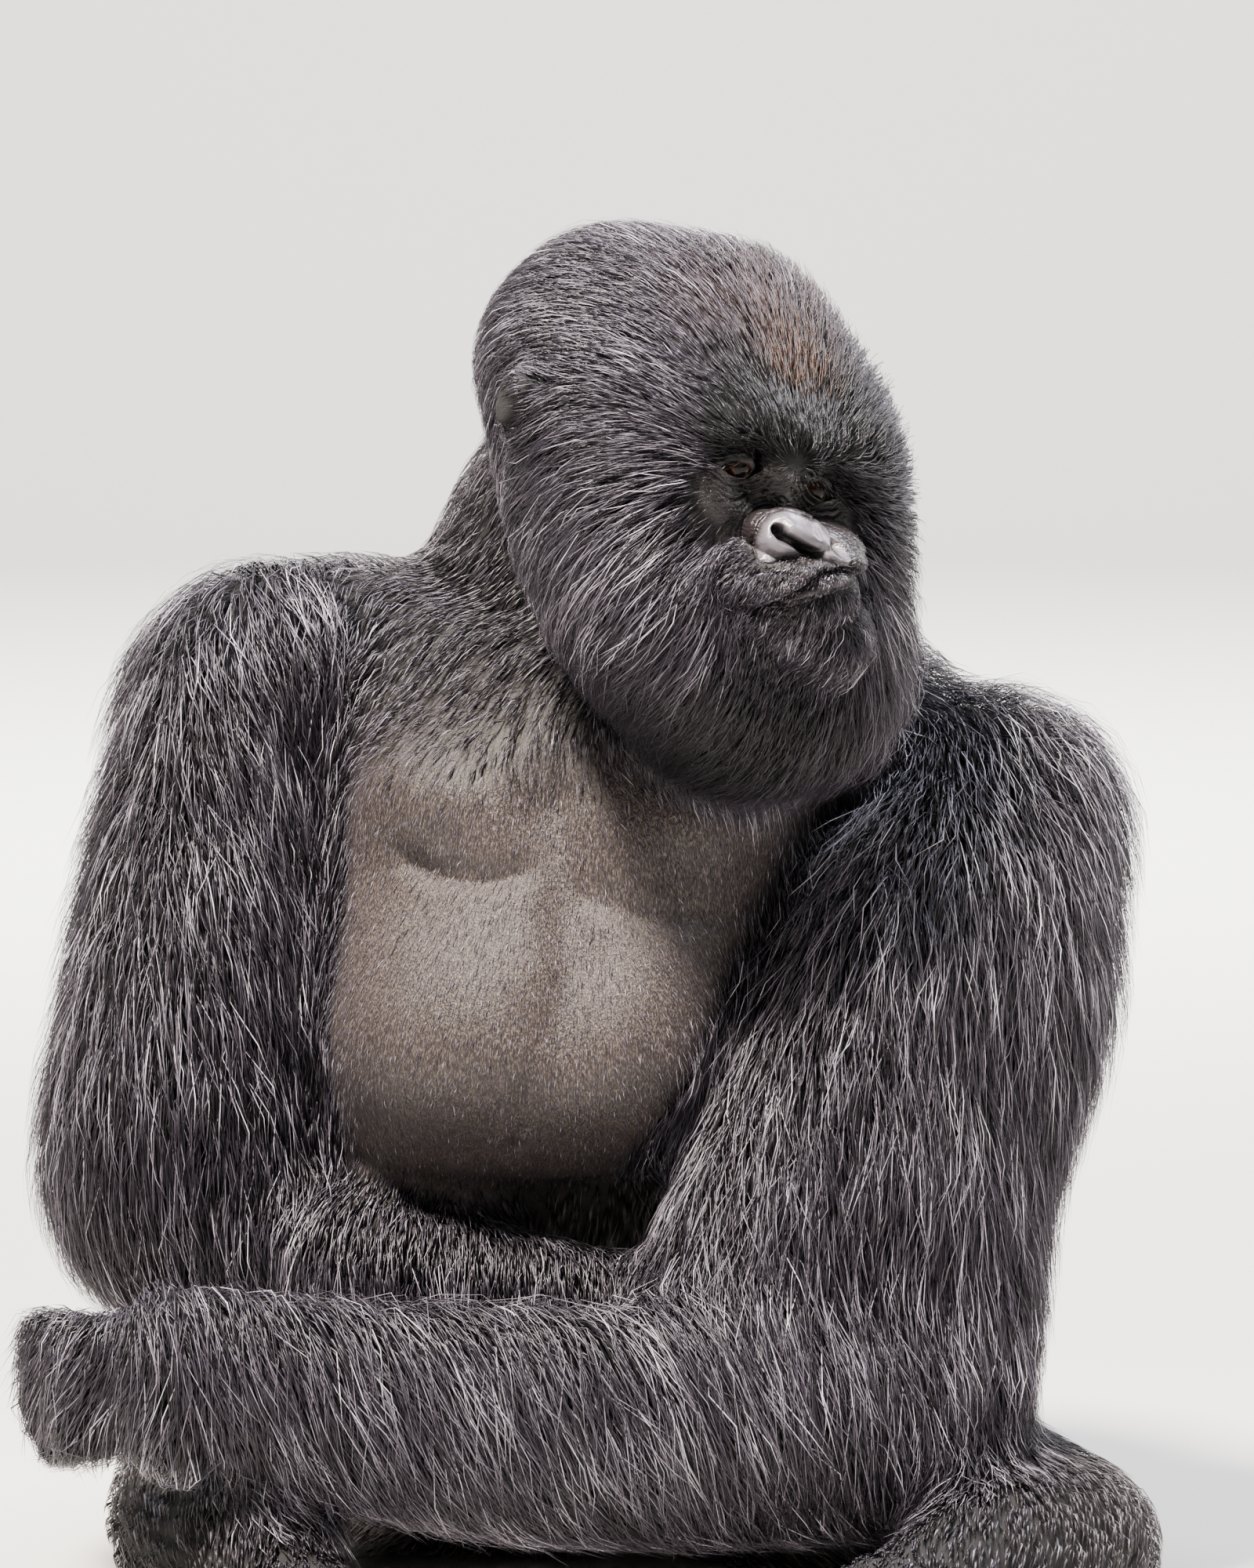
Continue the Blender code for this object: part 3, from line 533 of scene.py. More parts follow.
# ---------------------------------------------------------------- the animal's stance
@dataclass
class Stance:
    """Where the head and the body stand in the frame, worked out from the eye solids."""

    eye_at: tuple[float, float, float] = (0.0, -0.1385, -0.002)
    head_at: tuple[float, float, float] = (0.048, -0.125, 0.932)
    turn: float = 35.0
    nod: float = 11.0
    lean: float = 16.0
    head: Vector = field(init=False)
    shift: np.ndarray = field(init=False)
    axes: np.ndarray = field(init=False)

    def __post_init__(self) -> None:
        """Find the head's centre and axes and the body's offset."""
        turn = (Matrix.Rotation(math.radians(self.turn), 3, "Z")
                @ Matrix.Rotation(math.radians(self.nod), 3, "X")
                @ Matrix.Rotation(math.radians(self.lean), 3, "Y"))
        middle = (self.box_centre("eye_r") + self.box_centre("eye_l")) / 2.0
        self.head = middle - turn @ Vector(self.eye_at)
        self.shift = np.array(self.head) - np.array(self.head_at)
        self.axes = np.array(turn)

    def box_centre(self, name: str) -> Vector:
        """Return the middle of a node's box."""
        low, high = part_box(name)
        return (Vector(low) + Vector(high)) / 2.0

    def to_head(self, points: np.ndarray) -> np.ndarray:
        """Turn frame points into head points: x to the animal's left, -y ahead, z up."""
        return (points - np.array(self.head)) @ self.axes

    def from_head(self, points: np.ndarray) -> np.ndarray:
        """Turn head points into frame points."""
        return points @ self.axes.T + np.array(self.head)

    def aim_from_head(self, rows: np.ndarray) -> np.ndarray:
        """Turn head directions into frame directions."""
        return rows @ self.axes.T

    def to_body(self, points: np.ndarray) -> np.ndarray:
        """Turn frame points into body points, whose zero stands under the chest."""
        return points - self.shift


# ---------------------------------------------------------------- growth of the coat
@dataclass(frozen=True)
class Growth:
    """How deep the coat lies over one solid, how long its hair is and how crowded."""

    depth: float
    length: float
    crowd: float = 1.0
    rounds: int = 40


GROWTH: dict[str, Growth] = {
    "head": Growth(0.016, 0.034, 1.0, 5),
    "neck": Growth(0.012, 0.040, 1.0, 30),
    "trunk": Growth(0.009, 0.030, 1.0, 22),
    "rump": Growth(0.014, 0.034, 1.0, 50),
    "ear_r": Growth(0.0015, 0.020, 1.0, 3),
    "ear_l": Growth(0.0015, 0.020, 1.0, 3),
    "upper_arm_r": Growth(0.026, 0.080, 1.0, 40),
    "upper_arm_l": Growth(0.026, 0.080, 1.0, 40),
    "forearm_r": Growth(0.014, 0.040, 1.0, 25),
    "forearm_l": Growth(0.026, 0.078, 1.0, 30),
    "hand_r": Growth(0.003, 0.020, 0.8, 3),
    "hand_l": Growth(0.013, 0.050, 0.8, 3),
    "thigh_r": Growth(0.013, 0.030, 1.0, 50),
    "thigh_l": Growth(0.013, 0.030, 1.0, 50),
    "shin_r": Growth(0.012, 0.030, 1.0, 30),
    "shin_l": Growth(0.012, 0.030, 1.0, 30),
    "foot_r": Growth(0.001, 0.010, 0.5, 3),
    "foot_l": Growth(0.001, 0.010, 0.5, 3),
}
FLESH = list(GROWTH)
HANDS_AND_FEET = ("hand_l", "hand_r", "foot_l", "foot_r")

# How often each field of the skin is smoothed.
SMOOTHING = {"depth": 14, "length": 14, "crowd": 4, "face": 2, "chest": 6, "silver": 14, "russet": 2,
             "wet": 2, "palm": 2, "shade": 2, "light": 14}

# Patches of the head, in head axes: short hair, russet hair, and painted shade that darkens the hair under
# the brow, under the chin and in the ears.
CHIN = (Patch((0.026, -0.190, -0.112), (0.080, 0.080, 0.050), 1.6),)
MUZZLE = (Patch((0.010, -0.190, -0.072), (0.092, 0.070, 0.046), 2.4),)
MUZZLE_FUZZ = (Patch((0.014, -0.185, -0.078), (0.105, 0.10, 0.062)),)
BROW_FUZZ = (Patch((0.0, -0.140, 0.020), (0.070, 0.060, 0.024), 2.0),)
RUSSET = (Patch((-0.060, -0.10, 0.098), (0.055, 0.06, 0.035)),
          Patch((0.004, -0.13, 0.066), (0.050, 0.05, 0.030)),
          Patch((0.03, -0.06, 0.115), (0.075, 0.06, 0.035), 0.5))
# painted shade: hair under the brow's overhang, on the throat under the chin and in the ears' hollows is
# darkened to stand for their shadow
BROW_AND_THROAT = (Patch((0.0, -0.150, 0.030), (0.110, 0.090, 0.075), 2.2),
                   Patch((0.02, -0.10, -0.165), (0.15, 0.15, 0.10), 1.8))
EARS = tuple((Patch((side, -0.048, -0.02), (0.032, 0.030, 0.034), 1.6),) for side in (-0.165, 0.165))
CREST = (Patch((0.015, -0.015, 0.140), (0.075, 0.095, 0.070), 0.014),)

# Swells of the body, in body axes: both breasts, the belly's two halves, the shoulder, the coat over both.
BELLY = (Patch((-0.115, -0.200, 0.640), (0.080, 0.10, 0.055), 0.0070),
         Patch((0.020, -0.200, 0.630), (0.070, 0.10, 0.055), 0.0060),
         Patch((-0.150, -0.20, 0.475), (0.100, 0.14, 0.120), 0.0120),
         Patch((0.045, -0.20, 0.460), (0.110, 0.14, 0.110), 0.0120))
SHOULDER = (Patch((-0.235, -0.02, 0.760), (0.15, 0.20, 0.10), 0.038),)
SHOULDER_COAT = (Patch((-0.285, -0.02, 0.700), (0.17, 0.20, 0.12), 0.024),
                 Patch((0.290, -0.02, 0.640), (0.15, 0.20, 0.12), 0.014))

# Lines of the chest, seen from ahead: the furrow, the folds under both breasts, the line over the navel.
FURROW = ((-0.046, 0.700), (-0.046, 0.640), (-0.036, 0.590), (-0.028, 0.530), (-0.040, 0.460),
          (-0.070, 0.400))
BREAST_R = ((-0.180, 0.610), (-0.135, 0.592), (-0.090, 0.590), (-0.050, 0.606))
BREAST_L = ((-0.030, 0.590), (0.020, 0.566), (0.070, 0.560))
NAVEL = (-0.075, 0.386)
NAVEL_LINE = (NAVEL, (-0.068, 0.420), (-0.055, 0.470))


class Region(Enum):
    """Parts of the body whose hair streams are led by their own guides."""

    HEAD = ("head", "ear_r", "ear_l")
    TRUNK = ("neck", "trunk", "rump")
    ARM_R = ("upper_arm_r",)
    FORE_R = ("forearm_r", "hand_r")
    ARM_L = ("upper_arm_l",)
    FORE_L = ("forearm_l", "hand_l")
    LEGS = ("thigh_r", "thigh_l", "shin_r", "shin_l", "foot_r", "foot_l")


def both(place: tuple, way: tuple) -> tuple[tuple, tuple]:
    """Return a guide of the left side, after the same one on the right."""
    return ((-place[0], *place[1:]), (-way[0], *way[1:])), (place, way)


# Each guide: a place and the way the hair lies there; head guides in head axes.
GUIDES: dict[Region, tuple] = {
    Region.HEAD: (
        ((0.0, -0.11, 0.055), (0.0, 0.5, 1.0)), *both((0.05, -0.10, 0.055), (0.5, 0.5, 1.0)),
        ((0.0, -0.05, 0.11), (0.0, 1.0, 0.6)), ((0.0, 0.03, 0.13), (0.0, 1.0, 0.0)),
        *both((0.09, -0.03, 0.08), (0.5, 0.9, 0.2)), *both((0.09, -0.10, 0.025), (0.9, 0.7, 0.5)),
        ((0.0, 0.13, 0.05), (0.0, 0.3, -1.0)), *both((0.10, 0.08, 0.05), (0.1, 0.6, -0.8)),
        *both((0.095, -0.10, -0.02), (0.8, 0.8, -0.5)), *both((0.10, -0.08, -0.06), (0.35, 0.45, -1.0)),
        *both((0.13, -0.01, -0.06), (0.2, 0.5, -1.0)), ((-0.07, -0.13, -0.10), (-0.25, 0.2, -1.0)),
        ((0.08, -0.13, -0.10), (0.3, 0.2, -1.0)), ((0.01, -0.17, -0.115), (0.0, 0.0, -1.0)),
        ((0.01, -0.12, -0.17), (0.0, 0.3, -1.0)), ((0.0, -0.20, -0.065), (0.0, -0.1, -1.0)),
        ((0.0, 0.12, -0.08), (0.0, 0.2, -1.0)), ((-0.04, -0.19, -0.055), (-0.7, 0.2, -0.9)),
        ((0.045, -0.19, -0.05), (0.7, 0.2, -0.9)),
    ),
    Region.TRUNK: (
        ((-0.10, 0.05, 0.80), (-0.8, 0.0, -0.35)), ((-0.20, 0.05, 0.76), (-0.9, -0.1, -0.35)),
        ((-0.30, 0.03, 0.75), (-0.6, -0.2, -0.8)), ((0.12, 0.05, 0.78), (0.8, -0.1, -0.45)),
        ((0.22, 0.05, 0.70), (0.85, -0.1, -0.5)), ((0.32, 0.03, 0.66), (0.5, -0.2, -0.9)),
        ((0.0, 0.25, 0.85), (0.0, 0.5, -1.0)), *both((0.15, 0.30, 0.60), (0.15, 0.1, -1.0)),
        ((-0.05, 0.42, 0.30), (0.0, 0.0, -1.0)), *both((0.25, 0.25, 0.15), (0.3, 0.1, -1.0)),
        ((-0.10, -0.16, 0.66), (-0.35, 0.0, -1.0)), ((0.04, -0.16, 0.66), (0.35, 0.0, -1.0)),
        ((-0.15, -0.24, 0.45), (-0.3, -0.1, -1.0)), ((0.06, -0.24, 0.45), (0.3, -0.1, -1.0)),
        ((-0.05, -0.24, 0.30), (0.0, 0.1, -1.0)), ((-0.28, 0.0, 0.45), (-0.2, 0.0, -1.0)),
        ((0.22, 0.0, 0.40), (0.2, 0.0, -1.0)), ((0.0, 0.10, 0.05), (0.0, 0.5, -0.2)),
    ),
    Region.ARM_R: (
        ((-0.36, 0.0, 0.62), (-0.10, -0.1, -1.0)), ((-0.30, -0.10, 0.64), (0.75, -0.15, -0.8)),
        ((-0.24, -0.12, 0.60), (0.70, -0.15, -0.9)), ((-0.27, -0.13, 0.52), (0.30, -0.15, -1.0)),
        ((-0.40, 0.0, 0.45), (-0.25, 0.0, -1.0)), ((-0.31, -0.13, 0.42), (-0.15, -0.1, -1.0)),
        ((-0.33, 0.12, 0.50), (0.0, 0.2, -1.0)), ((-0.32, -0.12, 0.27), (0.1, -0.2, -1.0)),
    ),
    Region.FORE_R: (
        ((-0.20, -0.17, 0.30), (-0.3, -0.2, -1.0)), ((-0.08, -0.20, 0.29), (-0.1, -0.2, -1.0)),
        ((0.03, -0.22, 0.27), (0.8, -0.1, -0.6)), ((0.12, -0.22, 0.23), (0.9, 0.0, -0.4)),
    ),
    Region.ARM_L: (
        ((0.33, 0.0, 0.58), (0.15, -0.15, -1.0)), ((0.25, -0.12, 0.52), (-0.35, -0.3, -1.0)),
        ((0.37, -0.03, 0.42), (0.05, -0.2, -1.0)), ((0.22, -0.20, 0.40), (-0.35, -0.3, -1.0)),
        ((0.30, -0.20, 0.30), (-0.1, -0.2, -1.0)), ((0.12, -0.27, 0.36), (-0.5, -0.2, -1.0)),
        ((0.10, -0.30, 0.30), (-0.6, -0.2, -0.9)), ((0.28, -0.25, 0.18), (0.1, -0.1, -1.0)),
    ),
    Region.FORE_L: (
        ((-0.36, -0.43, 0.24), (-0.35, 0.0, -1.0)), ((-0.30, -0.43, 0.27), (0.5, -0.2, -0.8)),
        ((-0.33, -0.36, 0.30), (0.1, -1.0, -0.3)), ((-0.20, -0.44, 0.26), (0.9, -0.1, -0.5)),
        ((-0.08, -0.43, 0.24), (0.8, -0.1, -0.7)), ((-0.26, -0.44, 0.20), (0.3, -0.1, -1.0)),
        ((-0.10, -0.43, 0.18), (0.5, -0.1, -0.9)), ((0.05, -0.38, 0.20), (0.45, 0.0, -0.9)),
        ((0.18, -0.30, 0.18), (0.25, 0.0, -1.0)), ((-0.15, -0.36, 0.31), (0.9, -0.5, -0.2)),
        ((-0.10, -0.36, 0.11), (0.4, 0.3, -0.6)), ((-0.40, -0.40, 0.25), (-0.7, -0.1, -0.6)),
        ((0.10, -0.32, 0.27), (0.0, -0.5, -1.0)), ((-0.37, -0.40, 0.20), (-0.2, 0.0, -1.0)),
        ((-0.41, -0.40, 0.21), (-0.5, 0.0, -0.9)),
    ),
    Region.LEGS: (
        ((-0.25, -0.05, 0.22), (-0.3, -0.8, -0.3)), ((-0.36, -0.10, 0.12), (-0.1, -0.8, -0.5)),
        ((0.22, 0.0, 0.19), (0.6, -0.6, -0.3)), ((0.40, -0.20, 0.10), (0.2, -0.5, -0.8)),
        ((-0.28, -0.33, 0.14), (0.2, -0.9, -0.3)), ((0.28, -0.33, 0.14), (-0.4, -0.8, -0.3)),
        ((-0.22, -0.50, 0.05), (0.0, -1.0, -0.2)), ((0.22, -0.50, 0.05), (0.0, -1.0, -0.2)),
    ),
}


# ---------------------------------------------------------------- the face
def line_gap(flat: np.ndarray, line: tuple) -> tuple[np.ndarray, np.ndarray]:
    """Measure how far points lie from an open line of straight pieces.

    Args:
        flat: points with two coordinates.
        line: the line's corners.

    Returns:
        The distance of each point and how far along the line it is, from 0 to 1.
    """
    corners = np.array(line, dtype=float)
    best = np.full(len(flat), 1e9)
    along = np.zeros(len(flat))
    for k in range(len(corners) - 1):
        start, way = corners[k], corners[k + 1] - corners[k]
        t = np.clip(((flat - start) @ way) / (way @ way), 0, 1)
        gap = np.linalg.norm(flat - start - t[:, None] * way, axis=1)
        nearer = gap < best
        best = np.where(nearer, gap, best)
        along = np.where(nearer, (k + t) / (len(corners) - 1), along)
    return best, along


def inside_gap(flat: np.ndarray, outline: tuple) -> np.ndarray:
    """Measure how far points lie inside a closed outline; outside is negative."""
    closed = tuple(outline) + (outline[0],)
    gap, _ = line_gap(flat, closed)
    crossings = np.zeros(len(flat), dtype=int)
    for (ax, az), (bx, bz) in zip(closed[:-1], closed[1:]):
        spans = (az > flat[:, 1]) != (bz > flat[:, 1])
        where = ax + (flat[:, 1] - az) * (bx - ax) / (bz - az if bz != az else 1e-9)
        crossings += spans & (flat[:, 0] < where)
    return np.where(crossings % 2 == 1, gap, -gap)


@dataclass(frozen=True)
class Lids:
    """The lids of one eye, in head axes: where the ball is and how the opening lies."""

    ball: tuple[float, float, float]
    middle: tuple[float, float]
    half: float = 0.0152
    upper: float = 0.0060
    lower: float = 0.0054
    slope: float = 0.0
    radius: float = 0.0165


def soft_union(reach: np.ndarray, soft: float) -> np.ndarray:
    """Merge rows of distances into their largest, rounded off where they meet."""
    top = reach.max(axis=0)
    return top + soft * np.log(np.sum(np.exp((reach - top) / soft), axis=0))


@dataclass(frozen=True)
class Form:
    """One rounded form of the face in head axes; the tilt turns it about the y axis."""

    centre: tuple[float, float, float]
    radii: tuple[float, float, float]
    tilt: float = 0.0

    def reach(self, start: np.ndarray, aims: np.ndarray) -> np.ndarray:
        """Return how far each ray from the start goes until it leaves the form, -1 for a miss."""
        turn = math.radians(self.tilt)
        spin = np.array(((math.cos(turn), 0.0, -math.sin(turn)), (0.0, 1.0, 0.0),
                         (math.sin(turn), 0.0, math.cos(turn))))
        radii = np.array(self.radii)
        from_start = (spin @ (start - np.array(self.centre))) / radii
        way = (aims @ spin.T) / radii
        a = np.sum(way * way, axis=1)
        b = way @ from_start
        c = from_start @ from_start - 1.0
        inner = b * b - a * c
        far = (-b + np.sqrt(np.maximum(inner, 0.0))) / a
        return np.where((inner > 0) & (far > 0), far, -1.0)


@dataclass(frozen=True)
class Face:
    """The bare face's own forms: lids, bridge, nose pad, nostrils, lips, folds and ears."""

    core: tuple[float, float, float] = (0.0, -0.110, -0.045)
    forms: tuple[Form, ...] = (
        Form((0.000, -0.110, -0.012), (0.092, 0.044, 0.062)),
        Form((-0.044, -0.128, 0.027), (0.052, 0.036, 0.018), -8.0),
        Form((0.040, -0.128, 0.030), (0.052, 0.036, 0.018), 8.0),
        Form((-0.002, -0.126, 0.028), (0.034, 0.034, 0.017)),
        Form((-0.004, -0.133, -0.010), (0.031, 0.028, 0.034)),
        Form((-0.026, -0.134, 0.004), (0.016, 0.024, 0.020)),
        Form((0.052, -0.130, 0.002), (0.016, 0.024, 0.022)),
        Form((-0.052, -0.130, -0.040), (0.040, 0.036, 0.030)),
        Form((0.048, -0.130, -0.038), (0.040, 0.036, 0.030)),
        Form((-0.004, -0.122, -0.078), (0.098, 0.056, 0.058)),
        Form((0.010, -0.158, -0.063), (0.073, 0.070, 0.029), -27.0),
        Form((0.020, -0.160, -0.089), (0.066, 0.066, 0.027), -27.0),
        Form((0.036, -0.163, -0.110), (0.062, 0.060, 0.038), -10.0),
    )
    pad_forms: tuple[Form, ...] = (
        Form((-0.017, -0.177, -0.044), (0.020, 0.027, 0.0190), -6.0),
        Form((0.014, -0.171, -0.041), (0.019, 0.027, 0.0182), 4.0),
        Form((-0.001, -0.183, -0.037), (0.028, 0.029, 0.0180)),
    )
    lids: tuple[Lids, ...] = (
        Lids((-0.0450, -0.1385, -0.0035), (-0.0490, -0.0065), slope=0.10),
        Lids((0.0330, -0.1385, -0.0020), (0.0315, -0.0030), slope=-0.16),
    )
    pad: tuple = ((-0.0398, 0.0077), (-0.0334, 0.0187), (-0.0209, 0.0262), (-0.0109, 0.0240),
                  (-0.0013, 0.0212), (0.0068, 0.0235), (0.0155, 0.0265), (0.0250, 0.0250), (0.0320, 0.0170),
                  (0.0318, 0.0085), (0.0290, 0.0015), (0.0240, -0.0012), (0.0190, -0.0012),
                  (0.0141, -0.0007), (0.0058, -0.0020), (-0.0072, -0.0041), (-0.0176, -0.0089),
                  (-0.0275, -0.0170), (-0.0350, -0.0197), (-0.0409, -0.0065))
    nostrils: tuple = (((-0.0288, 0.0068), (-0.0240, 0.0030), (-0.0162, 0.0020), (-0.0045, 0.0000),
                        (0.0045, -0.0005)),
                       ((0.0268, 0.0090), (0.0238, 0.0065), (0.0195, 0.0045)))
    median: tuple = ((0.0010, 0.0225), (0.0022, 0.0114), (0.0084, 0.0010))
    mouth: tuple = ((-0.0560, -0.0740), (-0.0480, -0.0677), (-0.0350, -0.0566), (-0.0163, -0.0398),
                    (-0.0077, -0.0252), (0.0049, -0.0116), (0.0198, -0.0060), (0.0340, -0.0040),
                    (0.0500, -0.0070), (0.0640, -0.0150))
    roll: tuple = ((-0.0457, -0.0240), (-0.0318, -0.0173), (-0.0187, -0.0115), (-0.0091, -0.0092),
                   (0.0027, -0.0073))
    fold: tuple = ((-0.0527, -0.0409), (-0.0378, -0.0317), (-0.0265, -0.0240), (-0.0148, -0.0190),
                   (-0.0053, -0.0145))
    # folds about the nose: how far from the pad, how deep
    nose_folds: tuple = ((0.0070, 0.0012), (0.0118, 0.0011), (0.0170, 0.0008), (0.0225, 0.0006))
    # fans of folds: centre, first and last angle, how many, reach, curl
    fans: tuple = (((-0.056, 0.052), 158.0, 268.0, 18, 0.078, -0.35),
                   ((0.028, 0.050), 272.0, 382.0, 14, 0.066, 0.35),
                   ((-0.052, 0.062), -12.0, 40.0, 5, 0.036, 0.2),
                   ((0.024, 0.060), 140.0, 200.0, 5, 0.034, -0.2),
                   ((-0.016, 0.052), 195.0, 345.0, 7, 0.026, 0.0))
    pad_rise: float = 0.0016
    pad_crease: float = 0.0030
    pad_tilt: float = 0.30
    median_deep: float = 0.0013
    nostril_half: float = 0.0066
    nostril_deep: float = 0.0165
    lip_rise: float = 0.0030
    mouth_deep: float = 0.0085
    button_rise: float = 0.0032
    wrinkle_seed: int = 5

    def spots(self, head: np.ndarray) -> np.ndarray:
        """Turn head points into flat places on the face, in metres about its core."""
        away = head - np.array(self.core)
        size = np.maximum(np.linalg.norm(away, axis=1), 1e-9)
        return 0.095 * np.stack([np.arctan2(away[:, 0], -away[:, 1]), np.arcsin(away[:, 2] / size)], axis=1)

    def merged(self, forms: tuple[Form, ...], aims: np.ndarray, soft: float) -> np.ndarray:
        """Return how far some forms, softly merged, reach from the core in each direction."""
        reach = np.stack([form.reach(np.array(self.core), aims) for form in forms])
        return soft_union(reach, soft)

    def surface(self, aims: np.ndarray) -> np.ndarray:
        """Return how far the face's smooth forms reach from its core in each direction."""
        skin = self.merged(self.forms, aims, 0.0060) - 0.0035
        pad = self.merged(self.pad_forms, aims, 0.0050) - 0.0020
        return soft_union(np.stack([skin, pad]), 0.0012)

    def reshape(self, head: np.ndarray) -> np.ndarray:
        """Move head points to the face's forms.

        Args:
            head: the skin's points in head axes.

        Returns:
            The moved points, also in head axes.
        """
        away = head - np.array(self.core)
        size = np.maximum(np.linalg.norm(away, axis=1), 1e-9)
        aims = away / size[:, None]
        spots = self.spots(head)
        oval = np.hypot((spots[:, 0] - 0.002) / 0.104, (spots[:, 1] - 0.002) / 0.080)
        share = smoothstep(1.08, 0.80, oval) * smoothstep(-0.085, -0.110, head[:, 1])
        target = self.surface(aims) + self.nose(spots) + self.mouth_lines(spots) + self.folds(spots)
        head = np.array(self.core) + aims * blend(size, target, share)[:, None]
        for lids in self.lids:
            head = self.shape_lids(head, lids)
        return self.shape_ears(head)

    def nose(self, spots: np.ndarray) -> np.ndarray:
        """Return the height of the leathery pad, the creases about it and the nostrils."""
        inside = inside_gap(spots, self.pad)
        out = self.pad_rise * smoothstep(-0.0006, 0.0045, inside)
        out -= self.pad_crease * ridge(inside + 0.0022, 0.0016)
        out += self.pad_tilt * (0.006 - spots[:, 1]) * smoothstep(-0.003, 0.007, inside)
        gap, _ = line_gap(spots, self.median)
        out -= self.median_deep * ridge(gap, 0.0034) * smoothstep(-0.001, 0.004, inside)
        deep = np.zeros(len(spots))
        for line in self.nostrils:
            gap, along = line_gap(spots, line)
            half = self.nostril_half - 0.0026 * along
            out += 0.0020 * ridge(gap - half - 0.0048, 0.0036) * smoothstep(0.0, 0.003, inside)
            deep = np.maximum(deep, smoothstep(half, 0.30 * half, gap) * smoothstep(1.06, 0.80, along))
        return out - self.nostril_deep * deep

    def mouth_lines(self, spots: np.ndarray) -> np.ndarray:
        """Return the height of the lips and the depth of the mouth and its folds."""
        gap, along = line_gap(spots, self.mouth)
        ends = taper(along, 0.25, 0.85)
        out = self.lip_rise * ridge(gap - 0.0075, 0.0045) * ends
        out -= self.mouth_deep * ridge(gap, 0.0022) * (0.25 + 0.75 * ends)
        for line, deep, wide in ((self.roll, 0.0036, 0.0019), (self.fold, 0.0030, 0.0022)):
            gap, along = line_gap(spots, line)
            fade = taper(along, 0.3, 0.85)
            out -= deep * ridge(gap, wide) * fade
            out += 0.4 * deep * ridge(gap - 2.4 * wide, wide) * fade
        return out * smoothstep(-0.0006, -0.0045, inside_gap(spots, self.pad))

    def folds(self, spots: np.ndarray) -> np.ndarray:
        """Return the depth of the fine folds that fan out from the eyes and run about the nose."""
        rng = np.random.default_rng(self.wrinkle_seed)
        under = -inside_gap(spots, self.pad)
        beside = smoothstep(-0.024, -0.012, spots[:, 1]) * smoothstep(0.062, 0.040, spots[:, 1])
        out = np.zeros(len(spots))
        for start, deep in self.nose_folds:
            out -= deep * ridge(under - start, 0.0013) * beside
        for (u, v), first, last, many, reach, curl in self.fans:
            for turn in np.linspace(first, last, many):
                aim = math.radians(turn + rng.uniform(-3.0, 3.0))
                far, bend = rng.uniform(0.6, 1.0) * reach, curl + rng.uniform(-0.25, 0.25)
                line = []
                for step in np.linspace(0.10, 1.0, 8):
                    now = aim + bend * step + rng.uniform(-0.05, 0.05)
                    line.append((u + far * step * math.cos(now), v + far * step * math.sin(now)))
                gap, along = line_gap(spots, tuple(line))
                wide = rng.uniform(0.0011, 0.0018)
                out -= rng.uniform(0.0009, 0.0020) * ridge(gap, wide) * taper(along, 0.15, 0.55)
        out *= smoothstep(0.0030, 0.0060, under) * smoothstep(0.085, 0.070, spots[:, 1])
        button = np.hypot((spots[:, 0] + 0.0345) / 0.0085, (spots[:, 1] - 0.0470) / 0.0065)
        return out + self.button_rise * smoothstep(1.0, 0.2, button)

    def dome(self, gap: np.ndarray, radius: float) -> np.ndarray:
        """Return the height of a ball's front over its middle, running on straight beyond its side."""
        near = np.sqrt(np.maximum(radius ** 2 - gap ** 2, 0.0))
        return np.where(gap < 0.7 * radius, near, 0.714 * radius - 0.85 * (gap - 0.7 * radius))

    def shape_lids(self, head: np.ndarray, lids: Lids) -> np.ndarray:
        """Wrap the skin about one eyeball and open the lids over it.

        Args:
            head: the skin's points in head axes.
            lids: the eye's lids.

        Returns:
            The points, moved ahead or back only.
        """
        x, z = head[:, 0] - lids.ball[0], head[:, 2] - lids.ball[2]
        gap = np.hypot(x, z)
        front = -head[:, 1]
        ball = -lids.ball[1] + self.dome(gap, lids.radius)
        here = smoothstep(0.085, 0.100, front) * smoothstep(2.2 * lids.radius, 1.6 * lids.radius, gap)
        lifted = soft_union(np.stack([front, ball + 0.0006]), 0.0030)
        across = head[:, 0] - lids.middle[0]
        rise = head[:, 2] - lids.middle[1] - lids.slope * across
        share = np.clip(1.0 - (across / lids.half) ** 2, 0, 1)
        edge = np.where(rise > 0, lids.upper * share ** 0.75, lids.lower * share ** 0.9)
        past = np.abs(rise) - edge
        past = np.where(np.abs(across) < lids.half, past,
                        np.hypot(np.abs(across) - lids.half, np.abs(rise)))
        heavy = smoothstep(-0.001, 0.002, rise)
        lifted += 0.0008 * ridge(past - 0.0012, 0.0010)
        lifted += 0.0026 * heavy * ridge(past - 0.0042, 0.0026)
        for place, deep, wide, share in ((0.0082, 0.0022, 0.0011, 1.0), (0.0128, 0.0014, 0.0011, 1.0),
                                         (0.0050, 0.0012, 0.0010, 1 - heavy),
                                         (0.0170, 0.0012, 0.0010, 1 - heavy)):
            lifted -= deep * share * ridge(past - place, wide)
        hole = smoothstep(0.0002, -0.0008, past)
        lifted = blend(lifted, np.minimum(lifted, ball - 0.0014), hole)
        moved = head.copy()
        moved[:, 1] = -blend(front, lifted, here)
        return moved

